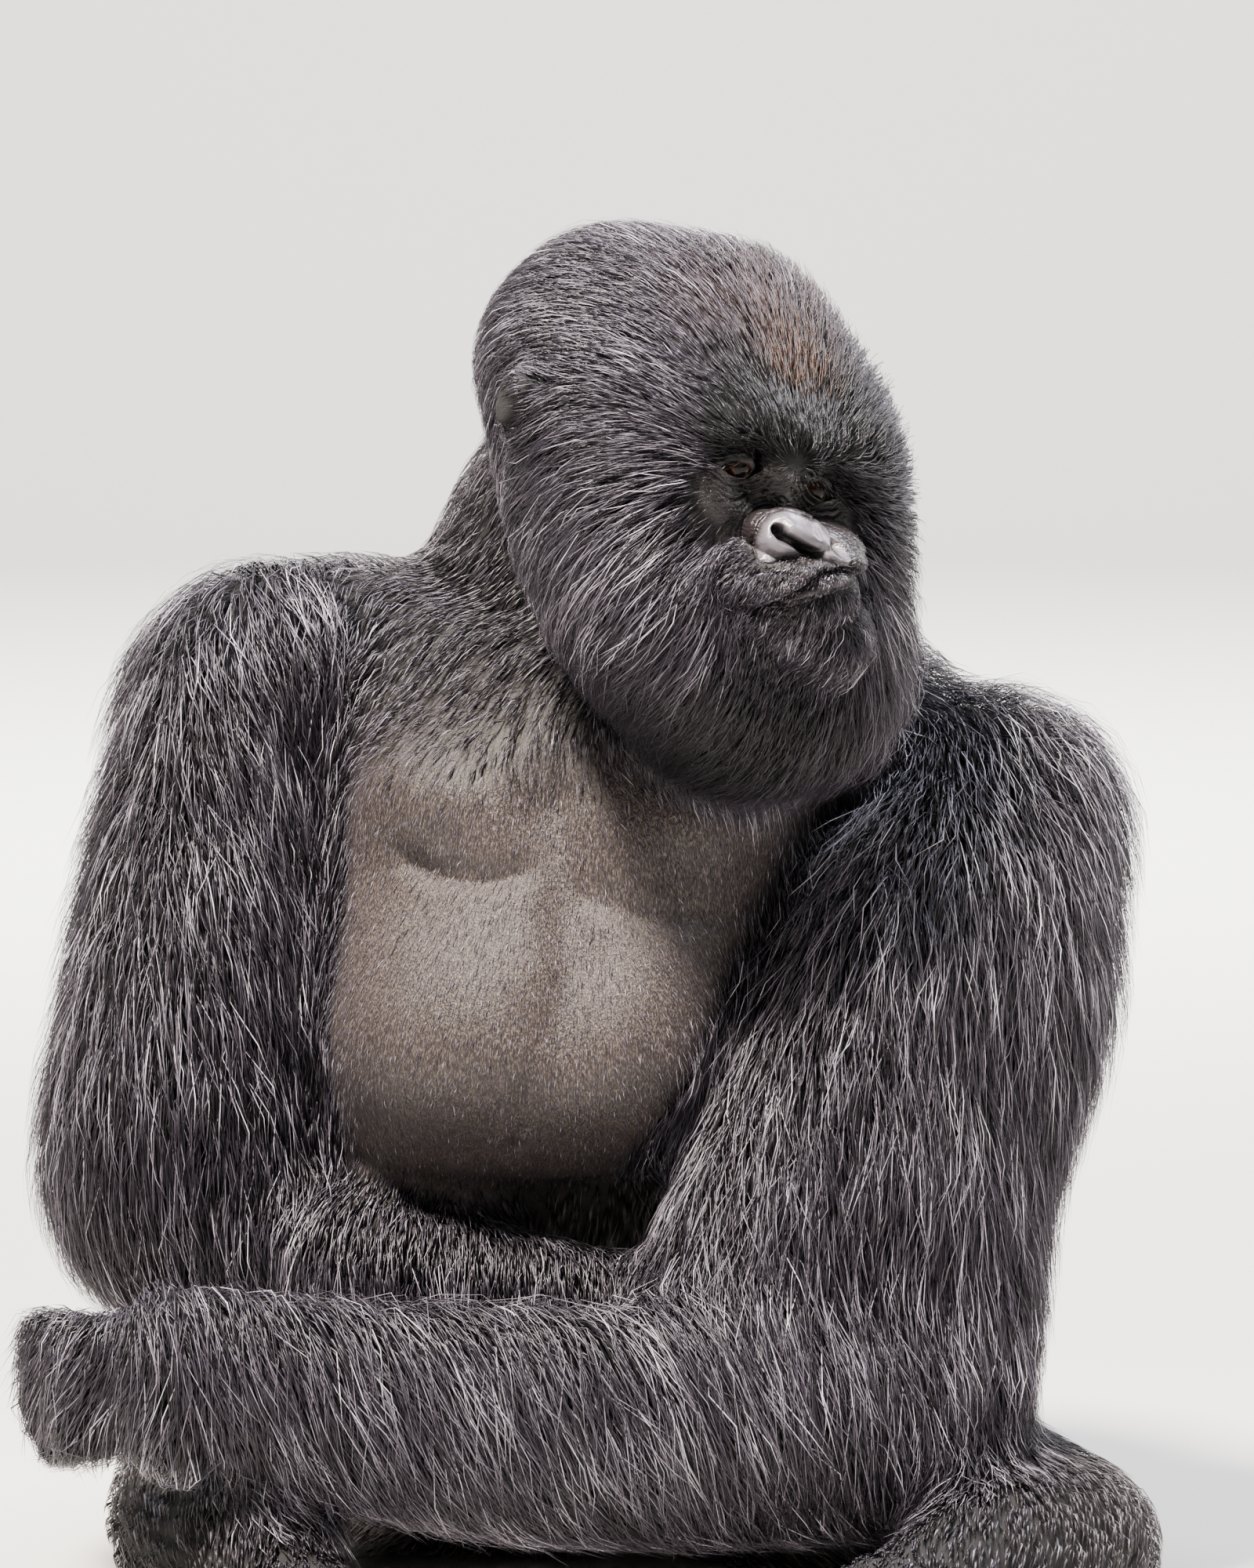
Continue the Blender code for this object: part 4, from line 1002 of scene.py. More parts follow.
    def shape_ears(self, head: np.ndarray) -> np.ndarray:
        """Hollow the ears and raise their rims."""
        for side in (-1.0, 1.0):
            for centre, radii, move in (
                    ((0.172, -0.052, -0.020), (0.013, 0.024, 0.018), (-0.001, 0.011, 0.0)),
                    ((0.160, -0.048, -0.026), (0.008, 0.014, 0.010), (0.001, -0.003, 0.0))):
                weight = blob(head, (side * centre[0], *centre[1:]), radii)
                head = head + weight[:, None] * np.array((side * move[0], *move[1:]))
        return head


# ---------------------------------------------------------------- the skin
@dataclass
class Hide:
    """The whole skin: one closed surface from lips to soles, under the coat's depth."""

    stance: Stance
    voxel: float = 0.0050
    lap: float = 0.0012
    body_share: float = 0.18
    item: bpy.types.Object = field(init=False)
    fields: dict[str, np.ndarray] = field(init=False, default_factory=dict)

    def build(self) -> None:
        """Make the skin from the solids, sink it under the coat and model its folds."""
        self.item = self.join()
        self.outer = BVHTree.FromPolygons([v.co.copy() for v in self.item.data.vertices],
                                          [list(p.vertices) for p in self.item.data.polygons])
        self.find_homes()
        self.set_growth()
        self.settle()
        self.sink()
        self.thin()
        self.refine_face()
        head = self.stance.to_head(read_points(self.item))
        write_points(self.item, self.stance.from_head(Face().reshape(head)))
        self.find_homes()
        self.shape_chest()
        self.find_homes()
        self.set_growth()
        self.measure_room()
        self.set_flow()
        LOG.info("skin: %d vertices", len(self.item.data.vertices))

    def join(self) -> bpy.types.Object:
        """Join slightly grown copies of the solids into one closed surface."""
        copies = []
        for name in FLESH:
            source = frame["nodes"][name]
            item = add_object("skin_" + name, source.data.copy())
            item.matrix_world = source.matrix_world
            with editing(item):
                bpy.ops.mesh.remove_doubles(threshold=0.00002)
            bpy.ops.object.transform_apply(location=True, rotation=True, scale=True)
            write_points(item, read_points(item) + read_normals(item) * self.lap)
            item.data.materials.clear()
            copies.append(item)
        deselect()
        for item in copies:
            item.select_set(True)
        bpy.context.view_layer.objects.active = copies[0]
        bpy.ops.object.join()
        skin = copies[0]
        skin.name = "skin"
        skin.data.name = "skin"
        for layer in list(skin.data.uv_layers):
            skin.data.uv_layers.remove(layer)
        apply_modifier(skin, "REMESH", mode="VOXEL", voxel_size=self.voxel)
        return skin

    def find_homes(self) -> None:
        """Note for each vertex which solid it belongs to."""
        points, faces, owner = [], [], []
        for index, name in enumerate(FLESH):
            mesh, place = frame["nodes"][name].data, frame["nodes"][name].matrix_world
            start = len(points)
            points.extend(place @ v.co for v in mesh.vertices)
            faces.extend([start + v for v in p.vertices] for p in mesh.polygons)
            owner.extend([index] * len(mesh.polygons))
        tree = BVHTree.FromPolygons(points, faces)
        here = read_points(self.item)
        if self.fields:
            here = here + read_normals(self.item) * self.fields_sunk()
        self.home = np.array([owner[tree.find_nearest(Vector(p))[2]] for p in here])

    def fields_sunk(self) -> np.ndarray:
        """Return how deep each vertex lies, read back from the thinned skin."""
        return read(self.item.data.attributes["sunk"].data, "value", 1, np.float32).astype(float)

    def among(self, *names: str) -> np.ndarray:
        """Return 1 for the vertices that belong to the named solids."""
        return np.isin(self.home, [FLESH.index(name) for name in names]).astype(float)

    def head_zones(self, head: np.ndarray) -> dict[str, np.ndarray]:
        """Find how far each vertex belongs to the parts of the head, to its markings and to the painted
        shade of brow, throat and ears.
        """
        on_head, form = self.among("head"), Face()
        zones = {}
        for key, patches in (("chin", CHIN), ("muzzle", MUZZLE), ("russet", RUSSET),
                             ("shade", BROW_AND_THROAT)):
            zones[key] = on_head * np.clip(heap(head, patches), 0, 1)
        # the ears take painted shade as well: darker hair for the shadow in their hollows
        for ear in EARS:
            zones["shade"] = np.maximum(zones["shade"], np.clip(heap(head, ear), 0, 1))

        front = on_head * smoothstep(-0.075, -0.11, head[:, 1])
        spots = form.spots(head)
        inside = inside_gap(spots, form.pad)
        oval = np.hypot((head[:, 0] + 0.002) / 0.072, (head[:, 2] + 0.026) / 0.033)
        bare = np.maximum(smoothstep(1.15, 0.92, oval), smoothstep(-0.0030, -0.0005, inside))
        for line, far, close, start, full in ((form.mouth, 0.0160, 0.0070, 0.20, 0.40),
                                              (form.roll, 0.0150, 0.0060, 0.30, 0.60)):
            gap, along = line_gap(spots, line)
            bare = np.maximum(bare, smoothstep(far, close, gap) * smoothstep(start, full, along))
        wet = front * smoothstep(-0.0010, 0.0015, inside)
        for line in form.nostrils:
            wet = wet * smoothstep(0.0022, 0.0050, line_gap(spots, line)[0])
        return zones | {"face": front * bare, "wet": wet}

    def body_zones(self, points: np.ndarray, normals: np.ndarray) -> dict[str, np.ndarray]:
        """Find how far each vertex belongs to the chest, the saddle, palms and soles, and the seat."""
        body, on_trunk = self.stance.to_body(points), self.among("trunk", "neck")
        x, z = body[:, 0], body[:, 2]
        chest = on_trunk * smoothstep(0.0, -0.25, normals[:, 1]) * smoothstep(0.16, 0.24, z)
        chest = chest * smoothstep(0.73, 0.64, z) * smoothstep(0.30, 0.24, np.abs(x + 0.04))
        saddle = self.among("trunk", "rump") * smoothstep(0.10, 0.45, normals[:, 1])
        saddle = saddle * smoothstep(0.16, 0.26, z) * smoothstep(0.78, 0.66, z)
        palm = self.among(*HANDS_AND_FEET) * smoothstep(-0.35, -0.75, normals[:, 2])
        palm = np.clip(palm + np.clip(self.digit_share(body), 0, 1), 0, 1)
        silver = saddle + 0.10 * self.among("neck") + 0.25 * self.among("thigh_r", "thigh_l", "rump")
        return {"chest": chest, "saddle": saddle, "palm": palm, "silver": np.clip(silver, 0, 1),
                "seat": smoothstep(0.030, 0.006, points[:, 2]) * smoothstep(-0.2, -0.6, normals[:, 2]),
                "light": on_trunk * smoothstep(0.60, 0.74, z) * (1 - chest)}

    def set_growth(self) -> None:
        """Work out the coat's depth, length and crowd and the markings on each vertex."""
        points, edges = read_points(self.item), read_edges(self.item)
        normals = unit_rows(spread(read_normals(self.item), edges, 6))
        head = self.stance.to_head(points)
        zones = self.head_zones(head) | self.body_zones(points, normals)
        depth, length, crowd = np.array([(g.depth, g.length, g.crowd) for g in GROWTH.values()])[self.home].T
        on_head = self.among("head") > 0
        rise, cheek = smoothstep(0.02, 0.09, head[:, 2]), smoothstep(0.0, -0.06, head[:, 2])
        short = 1 - 0.55 * zones["chin"]
        depth = np.where(on_head, 0.013 + 0.008 * rise + 0.010 * cheek, depth) * short
        length = np.where(on_head, 0.026 + 0.014 * rise + 0.036 * cheek, length) * short
        # each zone: how deep and how long its hair is, and the share of tufts that it loses
        for key, deep, long, lost in (("muzzle", 0.0028, 0.0110, 0.55), ("face", 0.0004, 0.005, 1.0),
                                      ("chest", 0.0012, 0.011, 0.55)):
            depth, length = blend(depth, deep, zones[key]), blend(length, long, zones[key])
            crowd = crowd * (1 - lost * zones[key])
        length = blend(length, 0.020, zones["saddle"])
        depth = blend(depth, 0.0003, zones["palm"]) * (1 - 0.9 * zones["seat"])
        crowd = crowd * (1 - zones["palm"]) * (1 - zones["seat"])

        zones |= {"depth": depth, "length": length, "crowd": crowd}
        for key, rounds in SMOOTHING.items():
            self.fields[key] = spread(zones[key], edges, rounds)
        near = np.maximum(zones["face"], zones["palm"])
        for key in ("depth", "length"):
            self.fields[key] = blend(self.fields[key], zones[key], near)

    def digit_share(self, body: np.ndarray) -> np.ndarray:
        """Return how far each vertex belongs to the bare fingers and toes."""
        fingers = self.among("hand_l") * smoothstep(-0.426, -0.436, body[:, 0])
        fingers += self.among("hand_r") * smoothstep(0.125, 0.145, body[:, 0])
        toes = self.among("foot_r", "foot_l") * smoothstep(-0.56, -0.60, body[:, 1])
        return fingers + toes

    def settle(self) -> None:
        """Smooth the joined surface, most over the body and least over face and digits."""
        points, edges = read_points(self.item), read_edges(self.item)
        rounds = np.array([GROWTH[name].rounds for name in FLESH], dtype=float)[self.home]
        rounds = spread(rounds, edges, 8)
        head = self.stance.to_head(points)
        back = self.among("head") * smoothstep(-0.09, -0.04, head[:, 1])
        rounds = np.maximum(rounds, 24 * back)
        for turn in range(int(rounds.max())):
            points = np.where((rounds > turn)[:, None], spread(points, edges, 1, 0.3), points)
        write_points(self.item, points)

    def sink(self, steps: int = 4) -> None:
        """Move the surface inwards by the coat's depth, in small even steps."""
        edges = read_edges(self.item)
        depth = self.fields["depth"]
        for _ in range(steps):
            points = read_points(self.item)
            normals = unit_rows(spread(read_normals(self.item), edges, 4))
            moved = points - normals * (depth / steps)[:, None]
            soft = spread(moved, edges, 2)
            ease = smoothstep(0.003, 0.010, depth)[:, None]
            moved = blend(moved, soft, ease)
            moved[:, 2] = np.maximum(moved[:, 2], FLOOR_GAP)
            write_points(self.item, moved)
        add_field(self.item, "sunk", depth)

    def thin(self) -> None:
        """Take faces away under the long coat, where nothing of the skin shows."""
        keep = np.clip(self.fields["face"] + self.fields["palm"] + self.fields["chest"], 0, 1)
        keep = np.maximum(keep, self.among(*HANDS_AND_FEET, "ear_r", "ear_l"))
        head = self.stance.to_head(read_points(self.item))
        keep = np.maximum(keep, self.among("head") * (head[:, 1] < -0.080) * (head[:, 2] < 0.060))
        group = self.item.vertex_groups.new(name="under_coat")
        for index in np.nonzero(keep < 0.5)[0]:
            group.add([int(index)], 1.0, "REPLACE")
        apply_modifier(self.item, "DECIMATE", ratio=self.body_share, vertex_group=group.name,
                       vertex_group_factor=1.0)
        self.item.vertex_groups.clear()
        with editing(self.item):
            bpy.ops.mesh.quads_convert_to_tris(quad_method="BEAUTY", ngon_method="BEAUTY")
            bpy.ops.mesh.normals_make_consistent(inside=False)

    def shape_chest(self) -> None:
        """Press the chest's furrow, folds and navel in and swell breasts, belly, shoulder and crest."""
        points, normals = read_points(self.item), read_normals(self.item)
        body = self.stance.to_body(points)
        mine = self.among("trunk") * smoothstep(0.05, -0.3, normals[:, 1])
        flat = body[:, (0, 2)]
        gap, along = line_gap(flat, FURROW)
        out = -0.0150 * ridge(gap, 0.026) * taper(along, 0.2, 0.6)
        gap, along = line_gap(flat, BREAST_R)
        out -= 0.0070 * ridge(gap, 0.010) * taper(along, 0.2, 0.8)
        gap, along = line_gap(flat, BREAST_L)
        out -= 0.0050 * ridge(gap, 0.010) * smoothstep(0.0, 0.2, along)
        out = heap(body, BELLY, out)
        out -= 0.0060 * ridge(np.linalg.norm(flat - np.array(NAVEL), axis=1), 0.0060)
        out -= 0.0016 * ridge(line_gap(flat, NAVEL_LINE)[0], 0.0035)
        moved = points + normals * (out * mine)[:, None]
        moved += normals * heap(body, SHOULDER)[:, None]
        moved += normals * heap(self.stance.to_head(points), CREST)[:, None]
        write_points(self.item, moved)

    def measure_room(self) -> None:
        """Measure how high the coat stands over each vertex up to the solids' own surface."""
        points = read_points(self.item)
        room = np.array([self.outer.find_nearest(Vector(p))[3] for p in points]) - self.lap
        room = spread(np.clip(room, 0.0, 0.045), read_edges(self.item), 10)
        bare = np.maximum(self.fields["face"], np.maximum(self.fields["palm"], self.fields["chest"]))
        body, head = self.stance.to_body(points), self.stance.to_head(points)
        upward = smoothstep(0.0, 0.6, read_normals(self.item)[:, 2])
        on_head = self.among("head")
        proud = (0.015 * upward * smoothstep(0.52, 0.62, body[:, 2])
                 * self.among("upper_arm_r", "upper_arm_l", "trunk"))
        proud += on_head * (0.006 * smoothstep(0.03, 0.10, head[:, 2])
                            + 0.014 * smoothstep(0.01, 0.09, head[:, 0]))
        proud = heap(body, SHOULDER_COAT, proud)
        proud -= on_head * 0.020 * smoothstep(-0.02, -0.10, head[:, 0]) * smoothstep(0.02, 0.09, head[:, 2])
        proud = spread(proud, read_edges(self.item), 10)
        self.fields["depth"] = blend(np.maximum(room, 0.002) + proud, self.fields["depth"], bare)

    def refine_face(self) -> None:
        """Split the faces about eyes, nose and mouth so that fine folds fit in."""
        for level in range(3):
            head = self.stance.to_head(read_points(self.item))
            if level < 2:
                grow = 0.010 * (1 - level)
                near = (head[:, 1] < -0.105) & (np.abs(head[:, 0] - 0.002) < 0.078 + grow)
                near &= (head[:, 2] < 0.030 + grow) & (head[:, 2] > -0.118 - grow)
            else:
                near = np.zeros(len(head), dtype=bool)
                for lids in Face().lids:
                    gap = np.linalg.norm(head - np.array(lids.ball), axis=1)
                    near |= (gap < 0.027) & (head[:, 1] < lids.ball[1] + 0.004)
            with editing(self.item, near):
                bpy.ops.mesh.subdivide(number_cuts=1)
                bpy.ops.mesh.select_all(action="SELECT")
                bpy.ops.mesh.quads_convert_to_tris(quad_method="BEAUTY", ngon_method="BEAUTY")
                bpy.ops.mesh.select_all(action="DESELECT")
            points = read_points(self.item)
            head = self.stance.to_head(points)
            soft = spread(points, read_edges(self.item), 3, 0.3)
            zone = (head[:, 1] < -0.100)[:, None] & (np.abs(head[:, 2] + 0.045) < 0.09)[:, None]
            write_points(self.item, np.where(zone, soft, points))

    def set_flow(self) -> None:
        """Lay the direction of the hair over the skin from the guides of each region."""
        points, normals = read_points(self.item), read_normals(self.item)
        edges = read_edges(self.item)
        head = self.stance.to_head(points)
        body = self.stance.to_body(points)
        flow = np.zeros_like(points)
        for region, guides in GUIDES.items():
            mine = self.among(*region.value) > 0
            here = head[mine] if region is Region.HEAD else body[mine]
            places = np.array([g[0] for g in guides])
            aims = unit_rows(np.array([g[1] for g in guides], dtype=float))
            gap = np.linalg.norm(here[:, None, :] - places[None, :, :], axis=2)
            weight = 1.0 / (gap ** 3 + 1e-6)
            lead = (weight / weight.sum(axis=1, keepdims=True)) @ aims
            if region is Region.HEAD:
                lead = self.stance.aim_from_head(lead)
            flow[mine] = lead
        flow = spread(flow, edges, 8)
        flow -= normals * np.sum(flow * normals, axis=1, keepdims=True)
        self.fields["flow"] = unit_rows(spread(unit_rows(flow), edges, 4))


# ---------------------------------------------------------------- the coat
@dataclass(frozen=True)
class Pelt:
    """One piece of the coat: where it grows and what its tufts are like."""

    name: str
    homes: tuple[str, ...]
    count: int
    seed: int
    slot: str = "coat"
    part: str = ""
    width: float = 0.0019
    bends: int = 2
    lift: tuple[float, float] = (0.2, 1.1)
    free: float = 0.0
    cell: float = 0.010
    gather: float = 0.4
    wave: float = 0.06
    tone: tuple[float, float] = (0.0, 0.50)
    long: float = 1.0

    @property
    def rings(self) -> int:
        """Rings of three points between a tuft's root and its tip."""
        return self.bends - 1

    @property
    def points(self) -> int:
        """Points of one tuft."""
        return 3 * self.rings + 2


class Coat:
    """Grows the coat's pieces from the skin."""

    root_deep: float = 0.0008        # how far a tuft is rooted in the skin
    least_high: float = 0.0012       # lowest that a tuft lies over the skin
    past_box: float = 0.004          # how far a tuft may pass the plain model's box
    patch: float = 0.0015            # half the size of a tuft's own patch in the map
    cell_keys: tuple[int, int, int] = (73856093, 19349663, 83492791)
    # the bright tufts are partly painted sheen: lighter colour standing for strands that catch the light
    bright_from: float = 0.93        # chance above which a tuft is one of the bright ones
    bright: float = 0.30

    def __init__(self, hide: Hide) -> None:
        """Read the skin's triangles, its fields and an unwrap of its own shape.

        Args:
            hide: the finished skin.
        """
        self.hide = hide
        self.item = hide.item
        self.lock = np.zeros(0, dtype=np.int64)
        self.points = read_points(self.item)
        self.normals = unit_rows(spread(read_normals(self.item), read_edges(self.item), 3))
        self.faces = read(self.item.data.polygons, "vertices", 3, np.int64)
        self.tree = BVHTree.FromPolygons([Vector(p) for p in self.points], self.faces.tolist())
        edge_a = self.points[self.faces[:, 1]] - self.points[self.faces[:, 0]]
        edge_b = self.points[self.faces[:, 2]] - self.points[self.faces[:, 0]]
        self.area = 0.5 * np.linalg.norm(np.cross(edge_a, edge_b), axis=1)
        self.unwrap()

    def unwrap(self) -> None:
        """Unwrap the skin for the tufts' own patches and take the layer off again."""
        self.item.data.uv_layers.new(name="unwrap")
        with editing(self.item):
            bpy.ops.uv.smart_project(angle_limit=math.radians(66.0), island_margin=0.002)
        layer = self.item.data.uv_layers["unwrap"]
        self.corners = read(layer.uv, "vector", 2, np.float32).reshape((-1, 3, 2)).astype(float)
        self.item.data.uv_layers.remove(layer)

    def mask(self, pelt: Pelt) -> np.ndarray:
        """Return how thickly a piece's tufts grow at each vertex."""
        fields, mine = self.hide.fields, self.hide.among(*pelt.homes)
        share = mine * fields["crowd"]
        head = self.hide.stance.to_head(self.points)
        low = smoothstep(0.012, -0.012, head[:, 2] + 0.35 * np.abs(head[:, 1] - 0.02) - 0.02)
        if pelt.part == "beard":
            share = share * low
        elif pelt.part == "crown":
            share = share * (1 - low)
        elif pelt.part == "chest":
            share = mine * fields["chest"]
        elif pelt.part == "furred":
            share = share * (1 - fields["chest"])
        elif pelt.part == "fuzz":
            off = smoothstep(0.0, -0.006, inside_gap(Face().spots(head), Face().pad))
            share = mine * np.clip(heap(head, MUZZLE_FUZZ) * (1 - fields["wet"]) * 2, 0, 1) * off
            share = share * (1 - smoothstep(-0.050, -0.036, head[:, 2] - 0.35 * head[:, 0]))
            brow = np.clip(heap(head, BROW_FUZZ), 0, 1)
            share = np.maximum(share, 0.8 * mine * brow * (1 - fields["face"]))
        return share

    def sample(self, pelt: Pelt, rng: np.random.Generator) -> tuple[np.ndarray, np.ndarray]:
        """Pick the roots of a piece's tufts.

        Args:
            pelt: the piece.
            rng: its own stream of chance.

        Returns:
            The triangle and the corner weights of each root.
        """
        share = self.mask(pelt)[self.faces].mean(axis=1) * self.area
        total = np.cumsum(share)
        picks = (np.arange(pelt.count) + rng.random(pelt.count)) / pelt.count * total[-1]
        chosen = np.clip(np.searchsorted(total, picks), 0, len(self.faces) - 1)
        r1, r2 = np.sqrt(rng.random(pelt.count)), rng.random(pelt.count)
        return chosen, np.stack([1 - r1, r1 * (1 - r2), r1 * r2], axis=1)

    def at(self, values: np.ndarray | str, chosen: np.ndarray, weights: np.ndarray) -> np.ndarray:
        """Read a vertex array, or one of the skin's named fields, at the roots."""
        corner = (self.hide.fields[values] if isinstance(values, str) else values)[self.faces[chosen]]
        if corner.ndim == 2:
            return np.sum(corner * weights, axis=1)
        return np.sum(corner * weights[:, :, None], axis=1)

    def follow(self, here: np.ndarray) -> tuple[np.ndarray, np.ndarray, np.ndarray]:
        """Find the skin nearest to some points and the lie of the hair there."""
        hits = [self.tree.find_nearest(Vector(p)) for p in here]
        touch = np.array([hit[0] for hit in hits])
        index = np.array([hit[2] for hit in hits])
        corners = self.faces[index]
        normal = unit_rows(self.normals[corners].mean(axis=1))
        flow = self.hide.fields["flow"][corners].mean(axis=1)
        flow = unit_rows(flow - normal * np.sum(flow * normal, axis=1, keepdims=True))
        return touch, normal, flow

    def grow(self, pelt: Pelt) -> bpy.types.Object:
        """Grow one piece of the coat.

        Args:
            pelt: what the piece is like.

        Returns:
            The piece as a mesh of closed, thin, bent tufts.
        """
        rng = np.random.default_rng(pelt.seed)
        chosen, weights = self.sample(pelt, rng)
        count = len(chosen)
        root = self.at(self.points, chosen, weights)
        normal = unit_rows(self.at(self.normals, chosen, weights))
        flow = self.at("flow", chosen, weights)
        length = self.at("length", chosen, weights) * rng.uniform(0.72, 1.15, count) * pelt.long
        depth = np.maximum(self.at("depth", chosen, weights), self.least_high)
        height = depth * (pelt.lift[0] + (pelt.lift[1] - pelt.lift[0]) * rng.random(count) ** 0.65)
        side = np.cross(flow, normal)
        flow = unit_rows(flow + side * rng.normal(0.0, pelt.wave + 0.06, count)[:, None])
        curl = rng.normal(0.0, 2.2 * pelt.wave, count)
        step = (length / pelt.bends)[:, None]
        spots, outs, ways = [root - normal * self.root_deep], [normal], [flow]
        base, way = root, flow
        for turn in range(1, pelt.bends + 1):
            share = turn / pelt.bends
            base, out, lie = self.follow(base + way * step)
            drift = np.cross(lie, out) * (rng.normal(0.0, 0.6 * pelt.wave, count) + curl * share)[:, None]
            spot = base + out * (height * (1 - math.exp(-4.0 * share)))[:, None]
            if pelt.free > 0:
                fall = unit_rows(ways[-1] * 0.55 + np.array((0.0, 0.0, -0.75)))
                hang = spots[-1] + fall * step
                loose = pelt.free * share * rng.uniform(0.3, 1.0, count)[:, None]
                spot = blend(spot, hang, loose)
            spot = spot + drift * step
            spots.append(spot)
            outs.append(out)
            ways.append(unit_rows(spot - spots[-2]))
            way = lie
        spots = self.clump(pelt, rng, root, np.stack(spots, axis=1), outs)
        for turn in range(1, pelt.bends + 1):
            touch, out, _ = self.follow(spots[:, turn])
            over = np.sum((spots[:, turn] - touch) * out, axis=1)
            lack = np.clip(self.least_high + 0.10 * height - over, 0, None)
            spots[:, turn] += out * lack[:, None]
        spots[:, :, 2] = np.maximum(spots[:, :, 2], FLOOR_GAP)
        spots = np.clip(spots, np.array(CAD_BOX[0]) - self.past_box, np.array(CAD_BOX[1]) + self.past_box)
        item = self.knit(pelt, rng, spots, np.stack(outs, axis=1))
        self.paint(item, pelt, rng, chosen, weights)
        self.add_patches(item, pelt, chosen, weights)
        LOG.info("%s: %d tufts, %d triangles", pelt.name, count, len(item.data.polygons))
        return item

    def clump(self, pelt: Pelt, rng: np.random.Generator, root: np.ndarray, spots: np.ndarray,
              outs: list[np.ndarray]) -> np.ndarray:
        """Draw neighbouring tufts together towards their tips, so that locks form."""
        cells = np.floor(root / pelt.cell + rng.random(3)).astype(np.int64)
        a, b, c = self.cell_keys
        keys = cells[:, 0] * a ^ cells[:, 1] * b ^ cells[:, 2] * c
        _, first, self.lock = np.unique(keys, return_index=True, return_inverse=True)
        leader = first[self.lock]
        pull = pelt.gather * rng.uniform(0.4, 1.0, len(root))
        for turn in range(1, pelt.bends + 1):
            gap = spots[leader, turn] - spots[:, turn]
            out = outs[turn]
            gap -= out * (0.6 * np.sum(gap * out, axis=1, keepdims=True))
            far = np.linalg.norm(gap, axis=1) > 3.0 * pelt.cell
            strength = np.where(far, 0.0, pull * (turn / pelt.bends) ** 1.3)
            spots[:, turn] += gap * strength[:, None]
        return spots

    def knit(self, pelt: Pelt, rng: np.random.Generator, spots: np.ndarray,
             outs: np.ndarray) -> bpy.types.Object:
        """Turn the tufts' midlines into thin closed three-sided solids.

        Args:
            pelt: the piece.
            rng: its own stream of chance.
            spots: the points of each tuft's midline.
            outs: the way out of the skin at each of them.

        Returns:
            The piece as a mesh, with each point's place along its tuft.
        """
        count, rings, per = len(spots), pelt.rings, pelt.points
        half = (pelt.width * rng.uniform(0.6, 1.3, count) * 0.5)[:, None]
        points = np.empty((count, per, 3))
        points[:, 0] = spots[:, 0]
        points[:, -1] = spots[:, -1]
        for ring in range(rings):
            along = unit_rows(spots[:, ring + 2] - spots[:, ring])
            side = unit_rows(np.cross(along, outs[:, ring + 1]))
            top = unit_rows(np.cross(side, along))
            middle = spots[:, ring + 1]
            points[:, 3 * ring + 1] = middle + side * half
            points[:, 3 * ring + 2] = middle + top * half * 0.8
            points[:, 3 * ring + 3] = middle - side * half
        points[:, :, 2] = np.maximum(points[:, :, 2], FLOOR_GAP * 0.5)
        faces = [(0, 1, 2), (0, 2, 3), (0, 3, 1)]
        for ring in range(rings - 1):
            a, b = 3 * ring + 1, 3 * ring + 4
            for k, m in ((0, 1), (1, 2), (2, 0)):
                faces += [(a + k, b + k, b + m), (a + k, b + m, a + m)]
        tip, a = per - 1, 3 * rings - 2
        faces += [(a, tip, a + 1), (a + 1, tip, a + 2), (a + 2, tip, a)]
        every = (np.arange(count) * per)[:, None, None] + np.array(faces)[None, :, :]
        item = add_mesh(pelt.name, points.reshape((-1, 3)), every.reshape((-1, 3)))
        level = np.concatenate([[0.0], np.repeat(np.arange(1, rings + 1) / (rings + 1), 3), [1.0]])
        add_field(item, "along", np.tile(level, count))
        return item

    def paint(self, item: bpy.types.Object, pelt: Pelt, rng: np.random.Generator, chosen: np.ndarray,
              weights: np.ndarray) -> None:
        """Give each tuft its own tone, darkened by the painted shade, and what it takes of silver and
        russet.
        """
        count = len(chosen)
        lock_tone = rng.random(int(self.lock.max()) + 1)[self.lock]
        mix = np.clip(0.40 * lock_tone + 0.60 * rng.random(count), 0, 1) ** 1.65
        light = self.at("light", chosen, weights)
        tone = pelt.tone[0] + (pelt.tone[1] - pelt.tone[0]) * mix + 0.04 * light * rng.random(count)
        # partly painted sheen: a few tufts are made brighter
        tone += np.where(rng.random(count) > self.bright_from, self.bright, 0.0)
        # painted shade: tufts under the brow, on the throat and in the ears are darkened to stand for their
        # shadow
        tone *= 1 - 0.92 * self.at("shade", chosen, weights)
        silver = self.at("silver", chosen, weights) * rng.uniform(0.35, 0.9, count)
        russet = self.at("russet", chosen, weights) * (rng.random(count) > 0.35)
        for key, values in (("tone", tone), ("silver", silver), ("russet", russet)):
            add_field(item, key, np.repeat(np.clip(values, 0, 1), pelt.points))

    def add_patches(self, item: bpy.types.Object, pelt: Pelt, chosen: np.ndarray,
                    weights: np.ndarray) -> None:
        """Lay each tuft out as a small patch of its own, about its root's place on the unwrap."""
        centre = np.sum(self.corners[chosen] * weights[:, :, None], axis=1)
        patch, rings = self.patch, pelt.rings
        local = [(0.0, -patch)]
        for ring in range(rings):
            high = 2 * patch * (ring + 1) / (rings + 1) - patch
            local += [(-patch, high), (0.0, high), (patch, high)]
        local = np.array(local + [(0.0, patch)])
        uv = (centre[:, None, :] + local[None, :, :]).reshape((-1, 2))
        corner = read(item.data.loops, "vertex_index", 1, np.int32)[:, 0]
        layer = item.data.uv_layers.new(name="OFBake")
        layer.uv.foreach_set("vector", uv[corner].astype(np.float32).reshape(-1))


